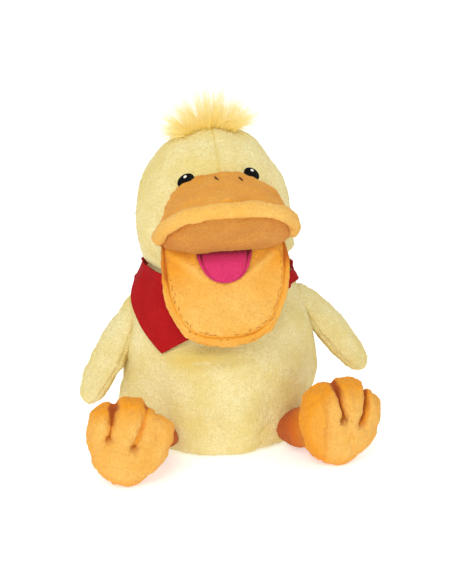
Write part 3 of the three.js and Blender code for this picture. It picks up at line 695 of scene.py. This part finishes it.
def make_lower_bill():
    def form(side, height, along):
        ahead = (along + 1) / 2
        start, tip = 3.0, -LOWER_LENGTH
        y = start + (tip - start) * ahead
        u = (start - y) / (start - tip)
        edge = np.where(side > 0, rounded(u, 2.5), rounded(u, 3.1))
        width = LOWER_HALF * edge * (0.96 + 0.04 * smoothstep(0, 0.25, u))
        outer = (6.5 - 1.5 * u) * np.minimum(1, edge * 1.3)
        inner = 6.5 * np.minimum(1, edge * 1.4) + 0.2
        groove = 1 - 0.30 * bump(np.abs(side), 0.93, 0.035) * (height > 0)
        rise = np.where(height > 0, inner * np.abs(height) ** 0.25 * groove, outer)
        return side * width, y, rise * np.sign(height) * np.abs(height) ** np.where(height > 0, 0.3, 1)

    points, faces, (_, height, _) = loft_points(136, 72, form)
    seam_distance = lower_edge_distance(points)
    on_face = (height > 0).astype(float)
    crease = (-2.0 * bump(seam_distance, 5.2, 1.0) + 0.9 * bump(seam_distance, 2.6, 1.4)) * on_face
    fold = 3.4 * bump(points[:, 0] * 0.75 + points[:, 1] + 40, 0, 4.5) * bump(points[:, 0], -30, 13)
    fold += 3.2 * bump(-points[:, 0] * 0.7 + points[:, 1] + 38, 0, 4.0) * bump(points[:, 0], 32, 12)
    dent = -1.6 * bump(points[:, 1], -22, 12) * (1 - bump(points[:, 0], 0, 20))
    points[:, 2] += on_face * (crease + fold + dent) * smoothstep(2, 9, seam_distance)
    # Painted shade: darker towards the hinge in the shade under the palate, in the stitched groove and in
    # the left corner of the mouth; painted light on the ridges of the folds. Also darker along the rim, and
    # uneven at random.
    tone = smoothstep(-50, -8, points[:, 1]) * 0.5 + 0.3 * bump(seam_distance, 2, 4)
    tone += 0.6 * bump(seam_distance, 5.2, 0.9) * on_face - 0.12 * fold * on_face
    tone += 0.35 * bump(points[:, 0], -40, 16) * bump(points[:, 1], -6, 16)
    tone = np.clip(tone + 0.10 * waves(points, 30, 83, 1), 0, 1)
    relief = 0.5 * waves(points, 30, 81, 1) + 0.25 * waves(points, 10, 82, 1)
    bill = plush_piece("lower_bill_pad", on_lower_bill(points), faces, tone, relief, 0.2, 84, LIP)
    panels = ("lower_bill_inner_panel", "lower_bill_outer_panel")
    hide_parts(*panels, "lower_bill_filling", "lower_mouth_board", "thumb_pocket")
    make_tongue()
    make_edge_stitches(bill)
    blend_bill(bill)


STITCH_HALF = (0.35, 1.2, 0.35)


def make_edge_stitches(bill):
    """A row of short stitches that closes the lower bill, about five millimetres inside its edge."""
    shape, quads, _ = loft_points(8, 6, pebble(STITCH_HALF, 3))
    turns = np.linspace(0.03, 0.97, 58) * math.pi
    side, ahead = np.cos(turns), np.sin(turns)
    power = np.where(side > 0, 2 / 2.5, 2 / 3.1)
    x = np.sign(side) * np.abs(side) ** power * (LOWER_HALF - 4.2)
    y = 3.0 - np.abs(ahead) ** power * (LOWER_LENGTH + 3 - 5.6)
    spots = on_lower_bill(np.stack([x, y, np.full_like(x, 12.0)], axis=1))
    placed = [nearest_on(bill, spot) for spot in spots]
    places = np.array([spot + normal * 0.15 for spot, normal in placed])
    heading = np.gradient(places, axis=0)
    points, faces = [], []
    for place, along, (_, normal) in zip(places, heading, placed):
        along = unit(along)
        faces += [face + len(points) * len(shape) for face in quads]
        points.append(on_axes(shape, np.cross(normal, along), along, normal) + place)
    stitches = make_object("lower_bill_stitches", np.concatenate(points), faces)
    dress(stitches, STITCH)
    blend_bill(stitches)


def lower_edge_distance(points):
    """About how far a point is inside the lower bill's outline, in millimetres."""
    u = np.clip((3.0 - points[:, 1]) / (3.0 + LOWER_LENGTH), 0, 1)
    power = np.where(points[:, 0] > 0, 2.5, 3.1)
    reach = (np.abs(points[:, 0] / LOWER_HALF) ** power + u**power) ** (1 / power)
    return (1 - reach) * (LOWER_HALF * 0.5 + LOWER_LENGTH * 0.5)


TONGUE_SEAM = 0.86


def make_tongue():
    def form(side, height, along):
        flat = np.sign(height) * np.abs(height) ** 0.5
        ahead = (along + 1) / 2
        y = 2 - 34.5 * ahead
        width = 23.5 * rounded(ahead, 2.3) * np.minimum(1, ahead * 10)
        stitch = -0.8 * bump(np.abs(side), TONGUE_SEAM, 0.03) * (height > 0)
        return side * width - 1.0, y, 8.4 + 1.4 * flat + stitch

    points, faces, (side, _, _) = loft_points(96, 40, form)
    seam = bump(np.abs(side), TONGUE_SEAM, 0.04) * (np.abs(points[:, 0]) > 4)
    # Painted shadow: darker towards the root, under the palate; also darker along its seam.
    tone = smoothstep(-19, -4, points[:, 1]) + 0.6 * seam
    tongue = make_object("tongue_felt_piece", on_lower_bill(points), faces, np.clip(tone, 0, 1))
    push_out(tongue, 0.1 * waves(points, 6, 91, 2))
    dress(tongue, TONGUE)
    blend_bill(tongue)
    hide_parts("tongue")


# ---- Wings ----
WING_LENGTH, WING_THICK, WING_ABOVE_PIVOT = 104.0, 11.0, 12.5


def make_wing(name, side_sign, splay, face, half, outset):
    pivot = joint_place("wing_" + name + "_flap")
    down = unit(np.array([side_sign * math.sin(splay), -0.04, -math.cos(splay)]))
    sideways = np.array([-side_sign * down[2], 0, side_sign * down[0]])
    outward = math.cos(face) * sideways + math.sin(face) * np.array([0, -1.0, 0])
    outward = unit(outward - outward @ down * down)
    across = np.cross(down, outward)

    def form(side, height, along):
        taper = rounded(along, 2.5) * (0.86 + 0.2 * np.sin((along + 0.6) * 1.6))
        y = along * WING_LENGTH / 2 + WING_LENGTH / 2 - WING_ABOVE_PIVOT
        seam = 1 - 0.06 * bump(height, 0, 0.12)
        return side * taper * half * seam, y, height * taper * WING_THICK

    points, faces, (_, height, _) = loft_points(72, 64, form)
    world = on_axes(points, across, down, outward) + pivot
    world[:, 0] += side_sign * outset * smoothstep(40, 95, points[:, 1])
    # Painted shade: the inner face, turned towards the body, is darker.
    tone = 0.5 * smoothstep(0.1, 1.0, -height)
    relief = 0.7 * waves(points, 40, 101, 1) + 0.35 * waves(points, 14, 102, 1)
    wing = plush_piece("wing_" + name + "_skin", world, faces, tone, relief, 0.2, 103, YELLOW)
    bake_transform(wing)
    pieces = ("outer_panel", "inner_panel", "filling")
    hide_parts(*("wing_" + name + "_" + piece for piece in pieces))


# ---- Feet and legs ----
FOOT_THICK = 14.0
# half is half the width and height. Each bulge of the outline is an angle, a spread and an amount. Each slit
# between toes is its top, the hole where it is pinched, both in x and z from the middle, and its strength.
FEET = {
    "left": {
        "centre": (86.5, -94, 38.2),
        "yaw": 6,
        "lean": -6,
        "half": (36.5, 37.8),
        "outline": [(44, 20, -0.10), (-40, 18, 0.05)],
        "heel": 0.05,
        "slits": [((-7.5, 38), (-2.0, 4.0), 1.0), ((23, 31), (14.5, -2.0), 1.0)],
        "strip": -16.0,
    },
    "right": {
        "centre": (-94.5, -103, 38.6),
        "yaw": -10,
        "lean": -6,
        "half": (35.5, 37.6),
        "outline": [(40, 20, -0.19), (-42, 16, 0.04), (120, 30, -0.07)],
        "heel": 0.13,
        "slits": [((-14, 38), (-18.0, 5.0), 1.0), ((15, 36), (2.5, -2.0), 0.55)],
        "strip": -60.0,
    },
}


def turn_about(axis, degrees):
    return np.array(Matrix.Rotation(math.radians(degrees), 3, axis))


def slit_distance(x, z, top, hole):
    """How far points are from a slit's line, and how far along it, 0 at the top and 1 at the hole."""
    top, hole = np.array(top, float), np.array(hole, float)
    line = hole - top
    t = ((x - top[0]) * line[0] + (z - top[1]) * line[1]) / (line @ line)
    held = np.clip(t, -0.3, 1)
    bow = 1.2 * np.sin(np.pi * np.clip(t, 0, 1))
    away = np.hypot(x - top[0] - held * line[0] - bow, z - top[1] - held * line[1])
    return away, t


def make_foot(name):
    spec = FEET[name]
    turn = turn_about("Z", spec["yaw"]) @ turn_about("X", spec["lean"])
    place = np.array(spec["centre"]) + TORSO_CENTRE
    half, tall = spec["half"]

    def form(side, height, along):
        angle = np.degrees(np.arctan2(side, height))
        dips = sum(bump(angle, math.degrees(math.atan2(*top)), 5.0) for top, _, _ in spec["slits"])
        shape = sum(by * bump(angle, at, spread) for at, spread, by in spec["outline"])
        reach = rounded(along, 2.4) * (1 - 0.10 * dips + shape)
        wide = half * (1 + 0.17 * height)
        z = height * reach * tall
        return side * reach * wide + spec["heel"] * np.minimum(z, 0), along * FOOT_THICK, z

    points, faces, (_, _, along) = loft_points(200, 90, form)
    x, z = points[:, 0], points[:, 2]
    edge = np.hypot(x / half, z / tall)
    pinch = np.ones(len(points))
    depth = np.zeros(len(points))
    for top, hole, strength in spec["slits"]:
        away, t = slit_distance(x, z, top, hole)
        from_hole = np.hypot(x - hole[0], z - hole[1])
        pinch *= 1 - 0.62 * strength * bump(away, 0, 2.3) * (1 - 0.45 * smoothstep(0.3, 1, t))
        pinch *= 1 - 0.45 * bump(from_hole, 0, 2.4)
        pinch *= 1 + 0.16 * bump(away, 7, 4)
        depth += strength * bump(away, 0, 2.2) * smoothstep(1.12, 0.9, t)
        spokes = np.arctan2(z - hole[1], x - hole[0])
        pinch *= 1 + 0.05 * bump(from_hole, 7, 5) * np.sin(5 * spokes + hole[0])
    pinch *= 1 - 0.05 * bump(x + 0.25 * z, 0, 2.2) * smoothstep(6, 16, -z)
    pinch *= 1 - 0.16 * bump(x - spec["strip"], 0, 2.2)
    points[:, 1] *= pinch
    seam = bump(along, 0, 0.07)
    world = points @ turn.T + place
    # Painted shade deep in the slits between the toes on the front face. The foot is also darker on the tops
    # of the toes, at the back, round the rim and beside the strip.
    tone = np.maximum(smoothstep(16, 36, z) * 0.55, smoothstep(0.0, 0.5, along) * 0.6)
    tone += 0.3 * smoothstep(0.75, 1.0, edge) + 0.4 * smoothstep(3, -3, x - spec["strip"])
    tone = np.clip(tone, 0, 0.62) + 1.0 * np.clip(depth, 0, 1) * (along < 0)
    tone = np.clip(tone, 0, 1)
    relief = 0.7 * waves(points, 30, 111, 1) + 0.35 * waves(points, 11, 112, 1) - 0.9 * seam
    foot = plush_piece("foot_" + name + "_skin", world, faces, tone, relief, 0.22, 113, FOOT)
    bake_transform(foot)
    pieces = ("top_panel", "sole_panel", "filling")
    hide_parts(*("foot_" + name + "_" + piece for piece in pieces))


def make_leg(name, girth, flare):
    hip = joint_place("leg_" + name + "_swing")
    ankle = joint_place("foot_" + name + "_flex")
    length = np.linalg.norm(ankle - hip)
    along_leg = unit(ankle - hip)
    sideways = unit(np.cross(along_leg, [0, 0, 1.0]))
    up = np.cross(sideways, along_leg)

    def form(side, height, along):
        y = (along + 1) / 2 * (length + 18) - 10
        radius = (girth + flare * along) * rounded(along, 4) * (1 - 0.07 * bump(along, 0.1, 0.2))
        return side * radius, y, height * radius

    points, faces, (_, _, along) = loft_points(56, 40, form)
    world = on_axes(points, sideways, along_leg, up) + hip
    world[:, 2] = np.maximum(world[:, 2] - 3 * smoothstep(0, 0.6, along), 0.8)
    # Painted shadow: darker towards the hip, under the belly.
    tone = 0.75 * smoothstep(0.5, -0.5, along)
    relief = 0.6 * waves(points, 20, 121, 1)
    leg = plush_piece("leg_" + name + "_skin", world, faces, tone, relief, 0.2, 123, LEG)
    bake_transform(leg)
    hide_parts("leg_" + name + "_sleeve", "leg_" + name + "_filling")


# ---- Tail ----
def make_tail():
    rise = turn_about("X", 34)

    def form(side, height, along):
        taper = rounded(along, 2.2) * (1 - 0.3 * along)
        return side * taper * 24, along * 21 + 20, height * taper * 11.5

    points, faces, (_, height, _) = loft_points(72, 40, form)
    world = points @ rise.T + [0, 64, 40] + TORSO_CENTRE
    relief = 0.6 * waves(points, 22, 131, 1) - 0.8 * bump(height, 0, 0.12)
    tail = plush_piece("tail_skin", world, faces, None, relief, 0.2, 133, YELLOW)
    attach(tail, "torso")
    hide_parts("tail_top_panel", "tail_bottom_panel", "tail_filling")


# ---- Eyes and nostrils ----
def make_eye(name, side_sign):
    spread, z = side_sign * 27.4, 243.8 + 0.8 * side_sign
    radius = head_radius(np.array([z]))[0]
    y = -math.sqrt(radius**2 - spread**2) * HEAD_DEPTH
    out = unit(np.array([spread, y, 22.0]))
    across = unit(np.cross([0, 0, 1.0], out))
    up = np.cross(out, across)
    tilt = math.radians(-32 * side_sign)
    wide = across * math.cos(tilt) + up * math.sin(tilt)
    tall = -across * math.sin(tilt) + up * math.cos(tilt)
    base = np.array([spread, y, z])

    def patch(label, shift, radii, lift, material):
        points, faces, _ = loft_points(48, 28, pebble(radii, 2))
        place = base + across * shift[0] + up * shift[1] + out * lift
        local = on_axes(points, wide, tall, out) + place
        piece = make_object("eye_" + name + "_" + label, on_head(local), faces)
        dress(piece, material)
        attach(piece, "head")
        return piece

    eye = patch("stitching", (0, -0.6), (8.0, 5.8, 1.9), 0.3, EYE_BLACK)
    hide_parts("eye_" + name)
    patch("highlight", (0.4 * side_sign, 2.6), (1.6, 1.1, 0.7), 1.8, EYE_WHITE)


def make_nostril(name, top):
    low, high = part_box("nostril_stitch_" + name)
    centre = (np.array(low) + np.array(high)) / 2 / MM

    def form(side, height, along):
        taper = rounded(along, 2)
        return side * taper * 0.7 + along * 1.0, -along * 4.6, height * taper * 0.9

    points, faces, _ = loft_points(16, 14, form)
    spot, normal = nearest_on(top, centre + [3.4, -7.0, 1.0])
    lean = np.array(Vector((0, 0, 1)).rotation_difference(Vector(normal)).to_matrix())
    placed = points @ lean.T + spot + normal * 0.3
    stitch = make_object("nostril_" + name + "_thread", placed, faces)
    dress(stitch, NOSTRIL)
    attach(stitch, "upper_bill")
    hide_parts("nostril_stitch_" + name)


# ---- Crest ----
CREST_LOCKS = [
    # place along the seam, lean to the duck's left in degrees, length
    (-1.0, -84, 25), (-0.95, -66, 30), (-0.85, -48, 37), (-0.7, -60, 33), (-0.6, -34, 38),
    (-0.45, -20, 37), (-0.3, -44, 34), (-0.2, -10, 40), (-0.05, 4, 41), (0.1, -16, 38),
    (0.2, 14, 39), (0.35, 30, 34), (0.5, 8, 35), (0.6, 40, 35), (0.75, 54, 36),
    (0.85, 26, 31), (0.95, 66, 35), (1.0, 48, 29),
]


def make_crest():
    """A tuft of long tapered fibres in locks, fanned out from one seam on top of the head."""
    rng = np.random.default_rng(7)
    per_lock, loose, rings, sides = 95, 300, 8, 3
    locks = np.array(CREST_LOCKS, float)
    in_locks = np.repeat(np.arange(len(locks)), per_lock)
    pick = np.concatenate([in_locks, rng.integers(0, len(locks), loose)])
    stray = np.concatenate([np.full(per_lock * len(locks), 1.0), np.full(loose, 3.0)])
    count = len(pick)
    across, lean, length = locks[pick].T
    across = np.clip(across + rng.normal(0, 0.07, count) * stray, -1.05, 1.05)
    root = np.stack([across * 20.5 - 3, rng.normal(0, 3.4, count) - 5, np.zeros(count)], axis=1)
    root[:, 2] = 279.6 - 0.0098 * (root[:, 0] ** 2 + root[:, 1] ** 2)
    lean = np.radians(lean + rng.normal(0, 7, count) * stray)
    tilt = rng.normal(0.0, 0.20, count) * stray + 0.25 * np.sin(locks[pick, 0] * 19)
    direction = [np.sin(lean), -np.sin(tilt), np.cos(lean) * np.cos(tilt) + 0.02]
    direction = unit(np.stack(direction, axis=1))
    reach = (0.83 + 0.09 * stray) * length * rng.uniform(0.3, 1.0, count)
    curl = rng.normal(0, 1.6, (count, 3)) * stray[:, None]
    t = np.linspace(0, 1, rings)
    droop = np.array([0, 0, 2.2]) * np.abs(np.sin(lean))[:, None]
    centre = (
        root[:, None]
        + direction[:, None] * (reach[:, None] * t)[..., None]
        + curl[:, None] * (t**2)[None, :, None]
        - droop[:, None] * (t**2)[None, :, None]
    )
    thickness = 0.17 * (1 - t) ** 0.6 + 0.02
    corner = np.arange(sides) * 2 * math.pi / sides
    side_axis = unit(np.cross(direction, [0, 1.0, 0.1]))
    other = np.cross(direction, side_axis)
    ring = (
        side_axis[:, None, None] * np.cos(corner)[None, None, :, None]
        + other[:, None, None] * np.sin(corner)[None, None, :, None]
    ) * thickness[None, :, None, None]
    points = (centre[:, :, None] + ring).reshape(-1, 3)
    starts = (np.arange(count) * rings * sides)[:, None]
    tips = starts + (rings - 1) * sides
    strands = (starts[..., None] + grid_faces(rings, sides)[None]).reshape(-1, 4)
    faces = [*strands, *(starts + [2, 1, 0]), *(tips + [0, 1, 2])]
    tone = np.tile(np.repeat(t, sides), count)
    tuft = make_object("crest_fibres", on_head(points), faces, tone)
    tuft.data.materials.append(crest_material())
    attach(tuft, "head")
    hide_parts("crest_tuft", "crest_patch")


def crest_material():
    material, nodes, links, shader = new_material("crest_pile")
    attribute = nodes.new("ShaderNodeAttribute")
    attribute.attribute_name = "tone"
    root_colour, tip_colour = (1.0, 0.82, 0.2), (1.0, 0.98, 0.84)
    mixed = mix_colours(nodes, links, attribute.outputs["Fac"], root_colour, tip_colour)
    streaks = noise_factor(nodes, links, 160, 0.4, 0.75)
    colour = mix_colours(nodes, links, streaks, mixed, (1.0, 0.91, 0.44))
    links.new(colour, shader.inputs["Base Color"])
    set_surface(shader, 0.8, 0.1)
    # Painted light: the fibres glow a little, so the dense tuft looks brighter than its own shading.
    links.new(colour, shader.inputs["Emission Color"])
    shader.inputs["Emission Strength"].default_value = 0.2
    glow = nodes.new("ShaderNodeBsdfTranslucent")
    links.new(colour, glow.inputs["Color"])
    both = nodes.new("ShaderNodeMixShader")
    both.inputs[0].default_value = 0.5
    links.new(shader.outputs[0], both.inputs[1])
    links.new(glow.outputs[0], both.inputs[2])
    links.new(both.outputs[0], nodes["Material Output"].inputs["Surface"])
    return material


# ---- Bandana ----
BANDANA_TIP = math.radians(-133.5)
BANDANA_TIP_Z = 95.0
BANDANA_OUTLINE = [
    (90, 84.6), (104, 83), (118, 81), (131, 78.3), (142, 73.2), (152, 67.2), (163, 62.6),
]
BANDANA_CLOTH = 1.2


def bandana_surface(azimuth, z, lift, loose):
    hanging = curve_through(BANDANA_OUTLINE, z.ravel()).reshape(z.shape)
    close = torso_radius(z.ravel()).reshape(z.shape) + 1.3
    radius = close + (hanging - close) * loose + lift
    depth = torso_depth(z)
    return np.stack([radius * np.cos(azimuth), radius * depth * np.sin(azimuth), z], axis=-1)


def make_bandana():
    """A kerchief round the neck: a soft band, and a triangle in front on the duck's right."""
    across_steps, down_steps = 300, 60
    azimuth = np.linspace(-math.pi, math.pi, across_steps, endpoint=False)
    drop = np.linspace(0, 1, down_steps)
    from_tip = (azimuth - BANDANA_TIP + math.pi) % (2 * math.pi) - math.pi
    hem = BANDANA_TIP_Z + np.where(from_tip > 0, 52.7, 59.8) * np.abs(from_tip)
    hem = -np.logaddexp(-hem / 1.6, -146 / 1.6) * 1.6
    top = 156.0 + 6.5 * bump(np.degrees(from_tip), -38, 40) + 0.8 * np.sin(azimuth * 3 + 1)
    z = top[None, :] + (hem - top)[None, :] * drop[:, None]
    angle = np.broadcast_to(azimuth[None, :], z.shape)
    folds = 1.3 * np.sin(angle * 9 + 0.06 * z + 2) * smoothstep(161, 146, z) * smoothstep(112, 140, z)
    folds = folds + 0.8 * np.sin(angle * 17 + 0.1 * z) * smoothstep(128, 150, z)
    rolled = 1.8 * bump(drop[:, None], 0.0, 0.10) + 0.7 * bump(drop[:, None], 1.0, 0.03)
    loose = smoothstep(125, 60, np.degrees(np.abs(from_tip)))[None, :]
    sheet = bandana_surface(angle, z, 0.6 + folds * 0.7 + rolled, loose).reshape(-1, 3)
    points = np.concatenate([sheet, sheet + unit(sheet * [1, 1, 0]) * BANDANA_CLOTH])
    count = len(sheet)
    inner = grid_faces(down_steps, across_steps)
    last = count - across_steps
    top_edge = bridge(0, count, across_steps)[:, ::-1]
    hem_edge = bridge(last, last + count, across_steps)
    faces = [*inner, *(inner[:, ::-1] + count), *top_edge, *hem_edge]
    bandana = make_object("bandana_sheet", on_torso(points), faces)
    dress(bandana, BANDANA)
    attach(bandana, "torso")
    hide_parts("bandana")
    return bandana


KNOT_DEPTH = 0.93
KNOT_PIECES = {
    "bandana_knot": {"azimuth": -40, "radius": 64.5, "z": 157, "half": (4.2, 5.5, 6)},
    "bandana_tie_end": {"azimuth": -41, "radius": 66.5, "z": 149.5, "half": (3.8, 4.5, 8)},
}


def make_knot():
    pieces = []
    for node, spec in KNOT_PIECES.items():
        azimuth = math.radians(spec["azimuth"])
        radius = spec["radius"]
        ahead = radius * KNOT_DEPTH * math.sin(azimuth)
        centre = np.array([radius * math.cos(azimuth), ahead, spec["z"]])
        points, faces, _ = loft_points(60, 40, pebble(spec["half"], 3))
        piece = make_object(node + "_cloth", on_torso(points + centre), faces)
        push_out(piece, 1.1 * waves(points, 8, len(node), 1))
        dress(piece, BANDANA)
        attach(piece, "torso")
        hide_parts(node)
        pieces.append(piece)
    return pieces


# ---- Inside ----
def make_inside():
    """The hand sleeve's lining, which shows from below, and the hem round the hand's opening."""
    heights = np.linspace(8, 130, 40)
    radius = torso_radius(heights) - 10
    sleeve_r = np.concatenate([[51.0], radius, radius[::-1] - 1.4, [50.0]])
    sleeve_z = np.concatenate([[5.2], heights, heights[::-1], [5.9]])
    points, faces = turned_points(sleeve_r, sleeve_z, 120, torso_depth)
    outward = unit(points * [1, 1, 0])
    wrinkle = 1.3 * waves(points * [1, 1, 0.5], 34, 151, 2) * smoothstep(5, 16, points[:, 2])
    lining = make_object("hand_lining", on_torso(points + outward * wrinkle[:, None]), faces)
    dress(lining, LINING)
    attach(lining, "torso")
    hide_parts("hand_sleeve_lining", "torso_front_padding", "torso_back_padding")
    turn = np.linspace(0, 2 * math.pi, 24, endpoint=False)
    roll_r = 58 + 7.5 * np.sign(np.cos(turn)) * np.abs(np.cos(turn)) ** 0.7
    roll_z = 1.9 + 1.7 * np.sin(turn)
    points, faces = turned_points(roll_r, roll_z, 160, lambda z: np.full_like(z, 0.82))
    hem = make_object("hand_hem", on_torso(points), faces)
    push_out(hem, 0.25 * waves(points, 9, 161, 2) * (points[:, 2] > 1))
    dress(hem, YELLOW)
    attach(hem, "torso")
    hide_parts("hand_opening_hem")


# ---- Stage, light and camera ----
def make_stage():
    bpy.ops.mesh.primitive_plane_add(size=60)
    floor = bpy.context.object
    floor.name = "floor"
    material, _, _, shader = new_material("floor")
    set_inputs(shader, {"Base Color": (0.88, 0.88, 0.87, 1), "Roughness": 0.9})
    set_inputs(shader, {"Emission Color": (1, 1, 1, 1), "Emission Strength": 0.42})
    floor.data.materials.append(material)
    world = bpy.data.worlds.new("world")
    bpy.context.scene.world = world
    world.use_nodes = True
    background = world.node_tree.nodes["Background"]
    set_inputs(background, {"Color": (1, 1, 1, 1), "Strength": 0.70})
    # Each light's place and size in metres, and its power in watts.
    lights = [
        ((-0.55, -1.3, 1.2), 0.8, 13.6),
        ((1.1, -0.9, 0.9), 1.0, 1.0),
        ((0.2, 1.2, 1.2), 1.0, 4.0),
    ]
    target = Vector((0, 0, 0.14))
    for place, size, power in lights:
        data = bpy.data.lights.new("softbox", "AREA")
        data.size = size
        data.energy = power
        light = bpy.data.objects.new("softbox", data)
        light.location = place
        light.rotation_euler = (target - Vector(place)).to_track_quat("-Z", "Y").to_euler()
        bpy.context.collection.objects.link(light)
    bpy.context.scene.view_settings.view_transform = "Standard"


def make_camera():
    azimuth, elevation = math.radians(-12), math.radians(17)
    distance = 1.35
    target = Vector((0.0007, 0.0112, 0.130))
    level = math.cos(elevation)
    back = Vector(
        (math.sin(azimuth) * level, -math.cos(azimuth) * level, math.sin(elevation))
    )
    data = bpy.data.cameras.new("camera")
    data.sensor_fit = "VERTICAL"
    data.sensor_height = 36
    data.lens = 94.6
    camera = bpy.data.objects.new("camera", data)
    camera.location = target + back * distance
    camera.rotation_euler = back.to_track_quat("Z", "Y").to_euler()
    bpy.context.collection.objects.link(camera)
    bpy.context.scene.camera = camera


make_camera()
make_stage()
make_torso()
make_head()
make_neck()
bill_top = make_upper_bill()
make_lower_bill()
make_wing("left", 1, math.radians(41), math.radians(30), half=20.8, outset=-1.0)
make_wing("right", -1, math.radians(24), math.radians(15), half=20.0, outset=5.0)
for limb in ("left", "right"):
    make_foot(limb)
make_leg("left", girth=19.5, flare=9.5)
make_leg("right", girth=12.0, flare=2.5)
make_tail()
for eye_name, eye_side in (("left", 1), ("right", -1)):
    make_eye(eye_name, eye_side)
    make_nostril(eye_name, bill_top)
make_crest()
make_bandana()
make_knot()
make_inside()
